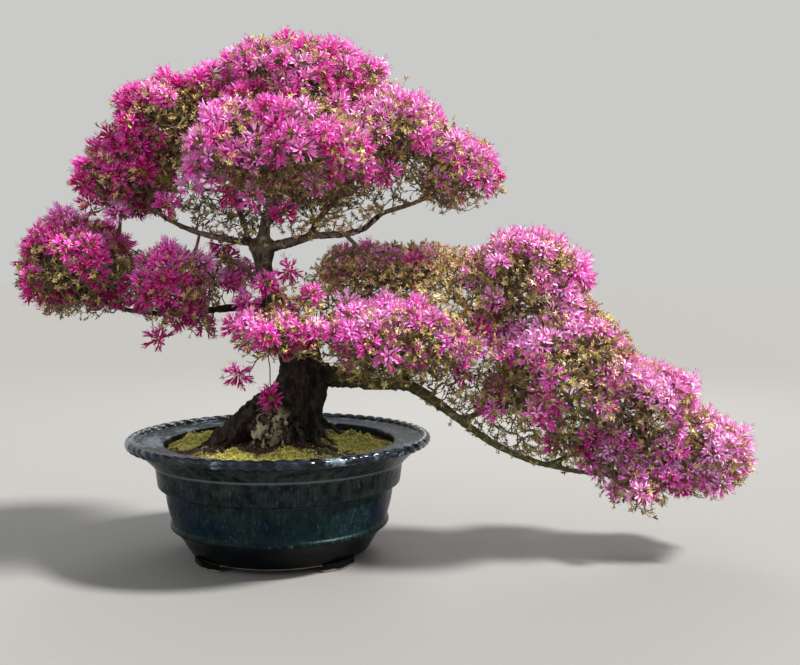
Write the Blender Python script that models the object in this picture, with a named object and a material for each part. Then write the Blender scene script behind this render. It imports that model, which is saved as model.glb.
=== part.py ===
"""A flowering azalea bonsai, semi-cascading to the right, in a round glazed pot.

Metres, +Z up. The design is drawn about the pot's axis, with the pot's feet standing at z = 0, +X
along the cascade and -Y towards the viewer of the tree's front. The last step shifts the whole part
along X and Y, so that the origin is the bottom centre of its overall box.
"""

import math

import bmesh
import bpy
from mathutils import Vector, noise

# Clearances
GAP = 0.0003  # between two hard pieces that touch
SOFT_GAP = 0.0005  # under a soft piece that lies on a rounded one
CLOUD_GAP = 0.004  # between two neighbouring clouds of foliage

# Pot, from the ground up
FOOT_HEIGHT = 0.010
WAIST_HEIGHT = 0.050  # from the base to the rolled ridge
BODY_HEIGHT = 0.060  # from the ridge to the ledge
BAND_HEIGHT = 0.030  # from the ledge to the neck
FLARE_HEIGHT = 0.041  # from the neck to the middle of the rope
BASE_RADIUS = 0.148
WAIST_RADIUS = 0.166
RIDGE_RADIUS = 0.181
RIDGE_HEIGHT = 0.010
BODY_TOP_RADIUS = 0.1885
LEDGE_RADIUS = 0.200
LEDGE_HEIGHT = 0.005
NECK_RADIUS = 0.2035
RIM_RADIUS = 0.250
ROPE_THICKNESS = 0.014
ROPE_ARC = (-100, 140, 40)  # degrees from the rope's outer side: first point, last point, step
MOUTH_RADIUS = 0.190
DISH = 0.003  # how far the flange's inner edge lies below its outer one
WALL = 0.012
FLOOR = 0.014
POT_SEGMENTS = 44

# Feet
FOOT_COUNT = 4
FOOT_LENGTH = 0.068
FOOT_DEPTH = 0.018
FOOT_INSET = 0.003  # from the foot's middle out to the base's edge
FOOT_LOBE = 0.22  # how deeply the foot's outline is scalloped
FOOT_POINTS = 24
FOOT_ROOT = FLOOR / 2  # how far each foot reaches up into the pot's floor

# Drainage
HOLE_COUNT = 3
HOLE_RADIUS = 0.018
HOLE_CIRCLE = 0.066
HOLE_SIDES = 16
SCREEN_THICKNESS = 0.0015
SCREEN_BAR = 0.004
SCREEN_MESH = 0.010
SCREEN_CELLS = 3
WIRE_THICKNESS = 0.002
CLIP_LEG = 0.016  # how far each leg is bent out under the pot
CLIP_SPREAD = 0.9  # how far out each leg goes through the screen, in openings from its middle

# Soil and moss
SOIL_DEPTH = 0.012  # from the mouth's edge down to the soil at the wall
SOIL_MOUND = 0.017  # from the soil at the wall up to its middle
SOIL_RINGS = 6
MOSS_SEGMENTS = 14
MOSS_RINGS = 3
MOSS_WAVES = 1.5  # how fast a cushion's edge runs in and out
MOSS_SEEDING = 27  # how far apart in the noise two cushions a metre apart read their edges
MOSS_WAVE = 0.16  # how unevenly a cushion's edge runs, as a share of its size
MOSS_EDGE = 0.25  # a cushion's height at its edge, as a share of its thickness

# Canopy
BLOSSOM_DEPTH = 0.022
LUMP = 0.09
LUMP_SIZE = 1.6
LUMP_SPREAD = 10  # how far apart in the noise two clouds a metre apart read their lumps
FULLNESS = 2.5  # 2 makes a cloud an ellipsoid, and more makes it boxier
CLOUD_SEGMENTS = 12
CLOUD_ROWS = 8
BLOSSOM_ROWS = 4  # the blossom covers this many of a cloud's rows, from the top down
TRUNK_SIDES = 12
LIMB_SIDES = 7
TWIG_SIDES = 6

# Heights that follow from the sizes above
BASE_Z = FOOT_HEIGHT
RIDGE_Z = BASE_Z + WAIST_HEIGHT
LEDGE_Z = RIDGE_Z + BODY_HEIGHT
NECK_Z = LEDGE_Z + BAND_HEIGHT
ROPE_Z = NECK_Z + FLARE_HEIGHT
MOUTH_Z = ROPE_Z - DISH
FLOOR_Z = BASE_Z + FLOOR
SOIL_EDGE_Z = MOUTH_Z - SOIL_DEPTH
SOIL_TOP_Z = SOIL_EDGE_Z + SOIL_MOUND

# The tree's wood: each limb's points as (x, y, height above the soil's middle, radius).
TRUNK = [
    (0.004, 0.000, -0.050, 0.050),
    (0.010, 0.000, 0.000, 0.058),
    (0.022, 0.002, 0.040, 0.049),
    (0.036, 0.002, 0.085, 0.045),
    (0.034, 0.006, 0.130, 0.037),
    (0.008, 0.012, 0.185, 0.027),
    (-0.016, 0.010, 0.240, 0.020),
    (-0.026, 0.004, 0.285, 0.018),
    (-0.028, 0.000, 0.325, 0.024),
]
LIMBS = {
    "crown_leader": [
        (-0.028, 0.000, 0.305, 0.016),
        (-0.022, 0.002, 0.360, 0.013),
        (0.000, 0.006, 0.405, 0.011),
        (0.022, 0.008, 0.460, 0.009),
        (0.020, 0.006, 0.520, 0.007),
        (0.006, 0.000, 0.575, 0.005),
    ],
    "crown_left": [
        (-0.028, 0.000, 0.318, 0.012),
        (-0.075, -0.006, 0.326, 0.009),
        (-0.132, -0.010, 0.338, 0.0075),
        (-0.185, -0.006, 0.362, 0.006),
        (-0.225, 0.000, 0.395, 0.005),
        (-0.235, 0.002, 0.425, 0.004),
    ],
    "crown_right": [
        (-0.024, 0.000, 0.315, 0.014),
        (0.018, -0.004, 0.322, 0.012),
        (0.058, -0.008, 0.333, 0.010),
        (0.105, -0.010, 0.335, 0.0085),
        (0.142, -0.010, 0.345, 0.0075),
        (0.170, -0.008, 0.370, 0.007),
        (0.215, -0.004, 0.384, 0.006),
        (0.262, 0.000, 0.405, 0.0045),
        (0.285, 0.000, 0.425, 0.0038),
    ],
    "cascade": [
        (0.030, 0.000, 0.118, 0.030),
        (0.092, -0.004, 0.100, 0.021),
        (0.160, -0.012, 0.090, 0.0155),
        (0.215, -0.016, 0.086, 0.0140),
        (0.258, -0.014, 0.060, 0.0125),
        (0.308, -0.010, 0.022, 0.0110),
        (0.353, -0.006, -0.010, 0.0095),
        (0.401, -0.002, -0.034, 0.0085),
        (0.449, 0.000, -0.050, 0.0075),
        (0.512, 0.000, -0.062, 0.0065),
        (0.585, -0.004, -0.066, 0.0055),
        (0.650, -0.010, -0.055, 0.0045),
        (0.680, -0.012, -0.040, 0.0040),
    ],
    "left_pad": [
        (-0.010, 0.010, 0.212, 0.015),
        (-0.055, -0.004, 0.217, 0.011),
        (-0.120, -0.010, 0.210, 0.009),
        (-0.200, -0.015, 0.205, 0.007),
        (-0.275, -0.018, 0.218, 0.0055),
        (-0.325, -0.020, 0.245, 0.004),
    ],
    "cascade_back": [
        (0.026, 0.010, 0.150, 0.018),
        (0.070, 0.042, 0.190, 0.012),
        (0.130, 0.064, 0.222, 0.009),
        (0.190, 0.070, 0.246, 0.0065),
        (0.235, 0.064, 0.262, 0.0045),
    ],
}
TWIGS = {
    "crown_shoulder": [
        (0.050, -0.006, 0.332, 0.010),
        (0.066, 0.002, 0.362, 0.008),
        (0.100, 0.012, 0.400, 0.006),
        (0.140, 0.010, 0.450, 0.005),
        (0.165, 0.004, 0.505, 0.004),
    ],
    "crown_upper_left": [
        (-0.050, -0.002, 0.322, 0.009),
        (-0.062, 0.006, 0.365, 0.007),
        (-0.092, 0.010, 0.420, 0.0055),
        (-0.130, 0.006, 0.475, 0.0045),
        (-0.145, 0.002, 0.510, 0.004),
    ],
    "crown_front": [
        (-0.022, 0.000, 0.345, 0.010),
        (-0.012, -0.042, 0.375, 0.0075),
        (0.004, -0.088, 0.402, 0.006),
        (0.014, -0.120, 0.428, 0.004),
    ],
    "crown_back": [
        (-0.022, 0.002, 0.350, 0.010),
        (-0.004, 0.050, 0.376, 0.0075),
        (0.016, 0.098, 0.402, 0.006),
        (0.028, 0.130, 0.428, 0.004),
    ],
    "left_inner": [
        (-0.110, -0.010, 0.210, 0.0075),
        (-0.135, -0.022, 0.222, 0.005),
        (-0.150, -0.030, 0.240, 0.004),
    ],
    "cascade_shoulder": [
        (0.190, -0.014, 0.088, 0.011),
        (0.240, 0.002, 0.128, 0.009),
        (0.300, 0.010, 0.170, 0.007),
        (0.358, 0.008, 0.212, 0.005),
        (0.385, 0.004, 0.240, 0.004),
    ],
    "cascade_front": [
        (0.110, -0.006, 0.098, 0.012),
        (0.140, -0.046, 0.110, 0.008),
        (0.170, -0.084, 0.126, 0.006),
        (0.190, -0.100, 0.146, 0.004),
    ],
    "cascade_middle": [
        (0.300, -0.010, 0.028, 0.010),
        (0.340, -0.026, 0.046, 0.008),
        (0.392, -0.040, 0.068, 0.006),
        (0.430, -0.045, 0.098, 0.004),
    ],
    "cascade_low": [
        (0.445, 0.000, -0.049, 0.0075),
        (0.495, 0.006, -0.030, 0.006),
        (0.550, 0.006, -0.002, 0.0048),
        (0.575, 0.004, 0.024, 0.004),
    ],
    "cascade_under": [
        (0.540, 0.000, -0.064, 0.0060),
        (0.566, -0.018, -0.068, 0.0050),
        (0.588, -0.036, -0.074, 0.0040),
    ],
    "low_front": [
        (0.024, -0.010, 0.150, 0.014),
        (0.012, -0.055, 0.148, 0.008),
        (0.000, -0.095, 0.150, 0.005),
        (-0.006, -0.112, 0.160, 0.004),
    ],
    "root_left": [
        (0.004, -0.004, 0.060, 0.036),
        (-0.036, -0.020, 0.034, 0.032),
        (-0.078, -0.036, 0.006, 0.024),
        (-0.112, -0.050, -0.014, 0.014),
        (-0.140, -0.060, -0.034, 0.006),
    ],
    "root_front": [
        (0.002, -0.010, 0.044, 0.030),
        (-0.006, -0.048, 0.018, 0.023),
        (-0.012, -0.076, -0.006, 0.015),
        (-0.014, -0.104, -0.030, 0.006),
    ],
    "root_right": [
        (0.040, -0.010, 0.020, 0.018),
        (0.058, -0.040, 0.002, 0.009),
        (0.072, -0.070, -0.002, 0.006),
        (0.098, -0.088, -0.006, 0.0045),
        (0.118, -0.094, -0.026, 0.004),
    ],
    "root_back": [
        (0.020, 0.010, 0.030, 0.028),
        (0.040, 0.050, 0.006, 0.018),
        (0.060, 0.082, -0.012, 0.010),
        (0.074, 0.104, -0.032, 0.006),
    ],
}

# The canopy: name, centre as (x, y, height above the soil's middle), half-width along X, half-width
# along Y, rise above the centre, drop below it, and whether blossom covers it.
CLOUDS = [
    ("crown_top", (0.024, 0.000, 0.540), 0.164, 0.150, 0.122, 0.045, True),
    ("crown_upper_left", (-0.150, 0.000, 0.490), 0.120, 0.150, 0.112, 0.040, True),
    ("crown_upper_right", (0.178, 0.000, 0.475), 0.115, 0.145, 0.098, 0.040, True),
    ("crown_left", (-0.250, 0.000, 0.405), 0.085, 0.130, 0.085, 0.035, True),
    ("crown_right", (0.285, 0.000, 0.408), 0.090, 0.125, 0.108, 0.030, True),
    ("crown_front", (0.020, -0.150, 0.420), 0.170, 0.090, 0.120, 0.035, True),
    ("crown_back", (0.035, 0.155, 0.420), 0.170, 0.090, 0.120, 0.035, True),
    ("left_outer", (-0.325, -0.020, 0.255), 0.097, 0.140, 0.125, 0.052, True),
    ("left_inner", (-0.165, -0.030, 0.235), 0.088, 0.115, 0.090, 0.045, True),
    ("cascade_back", (0.215, 0.070, 0.268), 0.182, 0.135, 0.070, 0.045, False),
    ("cascade_shoulder", (0.405, 0.005, 0.230), 0.120, 0.165, 0.125, 0.070, True),
    ("cascade_front", (0.190, -0.110, 0.145), 0.160, 0.095, 0.085, 0.045, True),
    ("cascade_middle", (0.462, -0.040, 0.100), 0.142, 0.150, 0.120, 0.085, True),
    ("cascade_low", (0.600, 0.000, 0.030), 0.110, 0.135, 0.105, 0.070, True),
    ("cascade_tip", (0.702, -0.012, -0.035), 0.090, 0.110, 0.078, 0.062, True),
    ("cascade_under", (0.590, -0.045, -0.078), 0.062, 0.070, 0.034, 0.036, True),
    ("low_front", (0.008, -0.125, 0.168), 0.085, 0.070, 0.048, 0.032, True),
]

# Moss cushions: name, middle as (x, y), half-length along X, half-length along Y, thickness.
MOSS = [
    ("moss_left", (-0.138, 0.010), 0.040, 0.052, 0.008),
    ("moss_front_left", (-0.062, -0.146), 0.044, 0.022, 0.008),
    ("moss_front", (0.030, -0.142), 0.034, 0.024, 0.007),
    ("moss_right", (0.126, -0.020), 0.042, 0.058, 0.007),
    ("moss_back", (-0.030, 0.125), 0.052, 0.034, 0.006),
]

COLOURS = {
    "glaze": ((0.035, 0.085, 0.105, 1.0), 0.22),
    "soil": ((0.060, 0.028, 0.018, 1.0), 0.95),
    "moss": ((0.360, 0.400, 0.040, 1.0), 0.95),
    "screen": ((0.020, 0.022, 0.020, 1.0), 0.60),
    "wire": ((0.450, 0.300, 0.200, 1.0), 0.35),
    "bark": ((0.075, 0.050, 0.028, 1.0), 0.85),
    "foliage": ((0.170, 0.190, 0.040, 1.0), 0.60),
    "blossom": ((0.720, 0.045, 0.420, 1.0), 0.55),
}
METALS = ("wire",)


def clear_scene():
    for thing in list(bpy.data.objects):
        bpy.data.objects.remove(thing, do_unlink=True)


def material(finish):
    """The finish's one material, made the first time it is asked for."""
    found = bpy.data.materials.get(finish)
    if found:
        return found
    colour, roughness = COLOURS[finish]
    made = bpy.data.materials.new(finish)
    made.use_nodes = True
    shader = made.node_tree.nodes["Principled BSDF"]
    shader.inputs["Base Color"].default_value = colour
    shader.inputs["Roughness"].default_value = roughness
    shader.inputs["Metallic"].default_value = 1.0 if finish in METALS else 0.0
    made.diffuse_color = colour
    return made


def add_object(name, data, finish, parent):
    thing = bpy.data.objects.new(name, data)
    bpy.context.scene.collection.objects.link(thing)
    data.materials.append(material(finish))
    thing.parent = parent
    return thing


def mesh_of(name, points, faces, smooth=True):
    mesh = bpy.data.meshes.new(name)
    mesh.from_pydata(points, [], faces)
    shape = bmesh.new()
    shape.from_mesh(mesh)
    bmesh.ops.recalc_face_normals(shape, faces=shape.faces)
    shape.to_mesh(mesh)
    shape.free()
    if smooth:
        mesh.shade_smooth()
        mesh.set_sharp_from_angle(angle=math.radians(40))
    return mesh


def make_cutter(thing):
    thing.hide_render = True
    thing.display_type = "WIRE"
    return thing


def boolean(thing, operation, other):
    step = thing.modifiers.new(other.name, "BOOLEAN")
    step.operation = operation
    step.solver = "EXACT"
    step.object = other


def turned(profile, segments):
    """A solid of revolution. The profile runs from the axis below to the axis above."""
    rings = profile[1:-1]
    points = [(0, 0, profile[0][1])]
    for r, z in rings:
        for i in range(segments):
            turn = 2 * math.pi * i / segments
            points.append((r * math.cos(turn), r * math.sin(turn), z))
    points.append((0, 0, profile[-1][1]))
    top = len(points) - 1
    faces = []
    for i in range(segments):
        j = (i + 1) % segments
        faces.append((0, 1 + j, 1 + i))
        for k in range(len(rings) - 1):
            low, high = 1 + k * segments, 1 + (k + 1) * segments
            faces.append((low + i, low + j, high + j, high + i))
        last = 1 + (len(rings) - 1) * segments
        faces.append((last + i, last + j, top))
    return points, faces


def extruded(outline, low, high):
    """A straight-sided solid over a closed outline of (x, y) points."""
    count = len(outline)
    points = [(x, y, low) for x, y in outline] + [(x, y, high) for x, y in outline]
    faces = [tuple(reversed(range(count))), tuple(range(count, 2 * count))]
    for i in range(count):
        j = (i + 1) % count
        faces.append((i, j, count + j, count + i))
    return points, faces


def inner_wall():
    """The pot's inner face as (radius, height), from the mouth down to the floor's edge."""
    return [
        (MOUTH_RADIUS, MOUTH_Z),
        (MOUTH_RADIUS, MOUTH_Z - WALL),
        (NECK_RADIUS - WALL, NECK_Z),
        (BODY_TOP_RADIUS - WALL, LEDGE_Z - LEDGE_HEIGHT),
        (RIDGE_RADIUS - WALL, RIDGE_Z),
        (BASE_RADIUS - WALL, FLOOR_Z),
    ]


def pot_profile():
    rope = ROPE_THICKNESS / 2
    rope_middle = RIM_RADIUS - rope
    bent = [
        (rope_middle + rope * math.cos(a), ROPE_Z + rope * math.sin(a))
        for a in (math.radians(d) for d in range(ROPE_ARC[0], ROPE_ARC[1] + 1, ROPE_ARC[2]))
    ]
    outside = [
        (0, BASE_Z),
        (BASE_RADIUS, BASE_Z),
        (WAIST_RADIUS, RIDGE_Z - 2 * RIDGE_HEIGHT),
        (RIDGE_RADIUS - RIDGE_HEIGHT / 3, RIDGE_Z - RIDGE_HEIGHT),
        (RIDGE_RADIUS, RIDGE_Z - RIDGE_HEIGHT / 2),
        (RIDGE_RADIUS - RIDGE_HEIGHT / 3, RIDGE_Z),
        (BODY_TOP_RADIUS, LEDGE_Z - LEDGE_HEIGHT),
        (LEDGE_RADIUS, LEDGE_Z),
        (NECK_RADIUS, NECK_Z),
        ((NECK_RADIUS + rope_middle) / 2 + rope / 2, (NECK_Z + ROPE_Z - rope) / 2),
    ]
    return outside + bent + inner_wall() + [(0, FLOOR_Z)]


def foot_outline():
    """A cloud foot seen from above: three lobes along its length."""
    points = []
    for i in range(FOOT_POINTS):
        turn = 2 * math.pi * i / FOOT_POINTS
        bulge = 1 + FOOT_LOBE * math.cos(3 * turn) * math.cos(turn)
        points.append((FOOT_DEPTH / 2 * math.cos(turn) * bulge, FOOT_LENGTH / 2 * math.sin(turn)))
    return points


def around(radius, turn):
    return Vector((radius * math.cos(turn), radius * math.sin(turn), 0))


def hole_places():
    for i in range(HOLE_COUNT):
        yield i + 1, around(HOLE_CIRCLE, math.pi / 2 + 2 * math.pi * i / HOLE_COUNT)


def hole_outline():
    """A drainage hole seen from above, with no corner on the lines from its middle along X and Y."""
    turns = [2 * math.pi * (i + 0.5) / HOLE_SIDES for i in range(HOLE_SIDES)]
    return [tuple(around(HOLE_RADIUS, turn))[:2] for turn in turns]


def make_pot(parent):
    points, faces = turned(pot_profile(), POT_SEGMENTS)
    pot = add_object("pot", mesh_of("pot", points, faces), "glaze", parent)
    points, faces = extruded(foot_outline(), 0, BASE_Z + FOOT_ROOT)
    for i in range(FOOT_COUNT):
        turn = 2 * math.pi * (i + 0.5) / FOOT_COUNT
        foot = add_object(f"foot_shape_{i}", mesh_of("foot", points, faces), "glaze", parent)
        foot.location = around(BASE_RADIUS - FOOT_INSET, turn)
        foot.rotation_euler.z = turn
        boolean(pot, "UNION", make_cutter(foot))
    points, faces = extruded(hole_outline(), 0, FLOOR_Z + FLOOR)
    for i, place in hole_places():
        hole = add_object(f"hole_shape_{i}", mesh_of("hole", points, faces), "glaze", parent)
        hole.location = place
        boolean(pot, "DIFFERENCE", make_cutter(hole))


def screen_width():
    return SCREEN_CELLS * (SCREEN_MESH + SCREEN_BAR) + SCREEN_BAR


def screen_shape():
    """A square plate with a grid of square openings."""
    edges = [-screen_width() / 2]
    for i in range(2 * SCREEN_CELLS + 1):
        edges.append(edges[-1] + (SCREEN_MESH if i % 2 else SCREEN_BAR))
    cells = len(edges) - 1
    shape = bmesh.new()
    grid = [[shape.verts.new((x, y, 0)) for y in edges] for x in edges]
    for i in range(cells):
        for j in range(cells):
            if i % 2 == 0 or j % 2 == 0:
                corners = (grid[i][j], grid[i + 1][j], grid[i + 1][j + 1], grid[i][j + 1])
                shape.faces.new(corners)
    flat = list(shape.faces)
    raised = bmesh.ops.extrude_face_region(shape, geom=flat)["geom"]
    lifted = [part for part in raised if isinstance(part, bmesh.types.BMVert)]
    bmesh.ops.translate(shape, verts=lifted, vec=(0, 0, SCREEN_THICKNESS))
    bmesh.ops.recalc_face_normals(shape, faces=shape.faces)
    mesh = bpy.data.meshes.new("screen")
    shape.to_mesh(mesh)
    shape.free()
    return mesh


def clip_shape():
    """A wire over the screen, down through its outer openings and bent out under the pot."""
    leg = (SCREEN_MESH + SCREEN_BAR) * CLIP_SPREAD
    over = FLOOR_Z + GAP + SCREEN_THICKNESS + GAP + WIRE_THICKNESS / 2
    under = BASE_Z - GAP - WIRE_THICKNESS / 2
    path = [(-leg - CLIP_LEG, under), (-leg, under), (-leg, over), (leg, over), (leg, under)]
    path.append((leg + CLIP_LEG, under))
    curve = bpy.data.curves.new("clip", "CURVE")
    curve.dimensions = "3D"
    curve.bevel_depth = WIRE_THICKNESS / 2
    curve.bevel_resolution = 1
    curve.use_fill_caps = True
    line = curve.splines.new("POLY")
    line.points.add(len(path) - 1)
    for point, (x, z) in zip(line.points, path, strict=True):
        point.co = (x, 0, z, 1)
    return curve


def make_drainage(parent):
    for i, place in hole_places():
        turn = math.atan2(place.y, place.x)
        screen = add_object(f"drainage_screen_{i}", screen_shape(), "screen", parent)
        screen.location = place + Vector((0, 0, FLOOR_Z + GAP))
        screen.rotation_euler.z = turn
        clip = add_object(f"screen_clip_{i}", clip_shape(), "wire", parent)
        clip.location = place
        clip.rotation_euler.z = turn


def wall_radius(height):
    """The pot's inner radius at a height."""
    wall = inner_wall()
    for (r_high, z_high), (r_low, z_low) in zip(wall, wall[1:], strict=False):
        if z_low <= height <= z_high:
            share = (height - z_low) / (z_high - z_low)
            return r_low + share * (r_high - r_low)
    return MOUTH_RADIUS


def soil_profile():
    """The mounded top of the soil as (radius, height), from the wall to the middle."""
    reach = wall_radius(SOIL_EDGE_Z) - GAP
    rings = []
    for i in range(SOIL_RINGS):
        share = 1 - i / SOIL_RINGS
        rise = SOIL_MOUND * math.cos(share * math.pi / 2)
        rings.append((reach * share, SOIL_EDGE_Z + rise))
    return rings


def soil_height(x, y):
    """The soil's height at a place, along the straight runs between its rings."""
    rings = soil_profile() + [(0, SOIL_TOP_Z)]
    reach = math.hypot(x, y)
    for (r_out, z_out), (r_in, z_in) in zip(rings, rings[1:], strict=False):
        if r_in <= reach <= r_out:
            return z_in + (reach - r_in) / (r_out - r_in) * (z_out - z_in)
    return SOIL_EDGE_Z


def make_soil(parent, wood):
    sides = [(r - GAP, z) for r, z in reversed(inner_wall()[2:])]
    sides[0] = (sides[0][0], FLOOR_Z + GAP)
    profile = [(0, FLOOR_Z + GAP)] + sides + soil_profile() + [(0, SOIL_TOP_Z)]
    points, faces = turned(profile, POT_SEGMENTS)
    soil = add_object("soil", mesh_of("soil", points, faces), "soil", parent)
    half = screen_width() / 2 + GAP
    roof = FLOOR_Z + 4 * GAP + SCREEN_THICKNESS + WIRE_THICKNESS
    square = [(-half, -half), (half, -half), (half, half), (-half, half)]
    points, faces = extruded(square, BASE_Z, roof)
    for i, place in hole_places():
        pocket = add_object(f"pocket_shape_{i}", mesh_of("pocket", points, faces), "soil", parent)
        pocket.location = place
        pocket.rotation_euler.z = math.atan2(place.y, place.x)
        boolean(soil, "DIFFERENCE", make_cutter(pocket))
    for name in ["trunk"] + [name for name in TWIGS if name.startswith("root_")]:
        boolean(soil, "DIFFERENCE", wood[name])


def smoothed(path, rings):
    """Points and radii along a smooth curve through the path's own."""
    spans = len(path) - 1
    for i in range(rings):
        place = i / (rings - 1) * spans
        k = min(int(place), spans - 1)
        t = place - k
        around_it = [Vector(path[min(max(k + d, 0), spans)]) for d in (-1, 0, 1, 2)]
        a, b, c, d = around_it
        yield (
            b * (1 - 3 * t**2 + 2 * t**3)
            + c * (3 * t**2 - 2 * t**3)
            + (c - a) / 2 * (t - 2 * t**2 + t**3)
            + (d - b) / 2 * (t**3 - t**2)
        )


def tube(path, sides, swell=0.0):
    """A closed tapering tube along a limb, made thicker all round and at its ends by swell."""
    rings = list(smoothed(path, 2 * len(path) - 1))
    centres = [Vector((x, y, z + SOIL_TOP_Z)) for x, y, z, _ in rings]
    centres[0] += (centres[0] - centres[1]).normalized() * swell
    centres[-1] += (centres[-1] - centres[-2]).normalized() * swell
    side = Vector((0, 1, 0))
    points, faces = [], []
    for i, (centre, ring) in enumerate(zip(centres, rings, strict=True)):
        along = (centres[min(i + 1, len(centres) - 1)] - centres[max(i - 1, 0)]).normalized()
        side = (side - along * side.dot(along)).normalized()
        other = along.cross(side)
        for k in range(sides):
            turn = 2 * math.pi * k / sides
            reach = ring[3] + swell
            points.append(centre + (side * math.cos(turn) + other * math.sin(turn)) * reach)
    for i in range(len(rings) - 1):
        for k in range(sides):
            j = (k + 1) % sides
            faces.append((i * sides + k, i * sides + j, (i + 1) * sides + j, (i + 1) * sides + k))
    last = (len(rings) - 1) * sides
    faces += [tuple(reversed(range(sides))), tuple(range(last, last + sides))]
    return points, faces


def all_limbs():
    yield "trunk", TRUNK, TRUNK_SIDES
    for name, path in LIMBS.items():
        yield name, path, LIMB_SIDES
    for name, path in TWIGS.items():
        yield name, path, TWIG_SIDES


def make_wood(parent):
    """Makes the tree's wood, and returns the shapes that clear a way for it in what it enters."""
    clearing = {}
    tree = None
    for name, path, sides in all_limbs():
        points, faces = tube(path, sides)
        mesh = mesh_of(name, points, faces)
        if tree is None:
            tree = add_object("trunk_and_branches", mesh, "bark", parent)
        else:
            boolean(tree, "UNION", make_cutter(add_object(f"{name}_shape", mesh, "bark", parent)))
        points, faces = tube(path, sides, GAP)
        cleared = add_object(f"{name}_clearing", mesh_of(name, points, faces), "bark", parent)
        clearing[name] = make_cutter(cleared)
    return clearing


def reach_along(cloud, way):
    """How far a cloud's rounded form reaches from its centre along a direction."""
    _, _, wide, deep, rise, drop, _ = cloud
    tall = rise if way.z > 0 else drop
    parts = (abs(way.x) / wide, abs(way.y) / deep, abs(way.z) / tall)
    return sum(part**FULLNESS for part in parts) ** (-1 / FULLNESS)


def extent_along(cloud, way):
    """How far a cloud's tangent plane lies from its centre along a direction."""
    _, _, wide, deep, rise, drop, _ = cloud
    tall = rise if way.z > 0 else drop
    return math.sqrt((way.x * wide) ** 2 + (way.y * deep) ** 2 + (way.z * tall) ** 2)


def cloud_reach(cloud, way):
    """A cloud's surface along a direction: lumpy, and cut flat where a neighbour begins."""
    name, centre = cloud[0], Vector(cloud[1])
    lump = noise.noise(way * LUMP_SIZE + centre * LUMP_SPREAD)
    reach = reach_along(cloud, way) * (1 + LUMP * lump)
    for other in CLOUDS:
        if other[0] == name:
            continue
        apart = Vector(other[1]) - centre
        facing = apart.normalized()
        mine, theirs = extent_along(cloud, facing), extent_along(other, -facing)
        border = apart.length * mine / (mine + theirs) - CLOUD_GAP / 2
        toward = way.dot(facing)
        if toward > 0:
            reach = min(reach, border / toward)
    return reach


def cloud_ways():
    """Directions from a cloud's centre: the top, rows of them on the way down, and the bottom."""
    rows = []
    for i in range(1, CLOUD_ROWS):
        lean = math.pi * i / CLOUD_ROWS
        row = []
        for k in range(CLOUD_SEGMENTS):
            turn = 2 * math.pi * k / CLOUD_SEGMENTS
            flat = math.sin(lean)
            row.append(Vector((flat * math.cos(turn), flat * math.sin(turn), math.cos(lean))))
        rows.append(row)
    return rows


def skin(top, rows, bottom=None):
    """Points and faces of a surface closed at its top and, if there is one, at its bottom point."""
    points = [top]
    for row in rows:
        points += row
    faces = []
    count = len(rows[0])
    for k in range(count):
        j = (k + 1) % count
        faces.append((0, 1 + k, 1 + j))
        for i in range(len(rows) - 1):
            high, low = 1 + i * count, 1 + (i + 1) * count
            faces += [(high + k, low + k, low + j), (high + k, low + j, high + j)]
    if bottom is not None:
        points.append(bottom)
        last = 1 + (len(rows) - 1) * count
        for k in range(count):
            faces.append((last + k, len(points) - 1, last + (k + 1) % count))
    return points, faces


def make_cloud(cloud, parent, clearing):
    name, place = cloud[0], Vector(cloud[1]) + Vector((0, 0, SOIL_TOP_Z))
    top, bottom = Vector((0, 0, 1)), Vector((0, 0, -1))
    covered = BLOSSOM_ROWS if cloud[6] else 0
    ways = cloud_ways()

    def at(way, under):
        return place + way * (cloud_reach(cloud, way) - under)

    rows = [
        [at(way, BLOSSOM_DEPTH if i < covered else 0) for way in row] for i, row in enumerate(ways)
    ]
    points, faces = skin(at(top, BLOSSOM_DEPTH if covered else 0), rows, at(bottom, 0))
    foliage = add_object(f"foliage_{name}", mesh_of(name, points, faces), "foliage", parent)
    parts = [foliage]
    if covered:
        inner_rows = [[at(w, BLOSSOM_DEPTH - SOFT_GAP) for w in row] for row in ways[:covered]]
        outer_rows = [[at(w, 0) for w in row] for row in ways[:covered]]
        inner, inner_faces = skin(at(top, BLOSSOM_DEPTH - SOFT_GAP), inner_rows)
        outer, outer_faces = skin(at(top, 0), outer_rows)
        shift = len(inner)
        faces = [tuple(reversed(face)) for face in inner_faces]
        faces += [tuple(i + shift for i in face) for face in outer_faces]
        edge = 1 + (covered - 1) * CLOUD_SEGMENTS
        for k in range(CLOUD_SEGMENTS):
            j = (k + 1) % CLOUD_SEGMENTS
            faces.append((edge + k, edge + j, shift + edge + j, shift + edge + k))
        cap = mesh_of(name, inner + outer, faces)
        parts.append(add_object(f"blossom_{name}", cap, "blossom", parent))
    for part in parts:
        for limb in clearing.values():
            if boxes_meet(part, limb):
                boolean(part, "DIFFERENCE", limb)


def boxes_meet(one, other):
    """Whether the boxes of two unplaced meshes overlap."""
    low_a, high_a = mesh_box(one)
    low_b, high_b = mesh_box(other)
    return all(low_a[i] < high_b[i] and low_b[i] < high_a[i] for i in range(3))


def mesh_box(thing):
    spots = [vertex.co for vertex in thing.data.vertices]
    low = [min(spot[i] for spot in spots) for i in range(3)]
    high = [max(spot[i] for spot in spots) for i in range(3)]
    return low, high


def moss_wave(turn, seed):
    """How far out a cushion's edge runs in a direction, about 1."""
    place = Vector((math.cos(turn), math.sin(turn), seed * MOSS_SEEDING)) * MOSS_WAVES
    return 1 + MOSS_WAVE * noise.noise(place)


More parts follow.
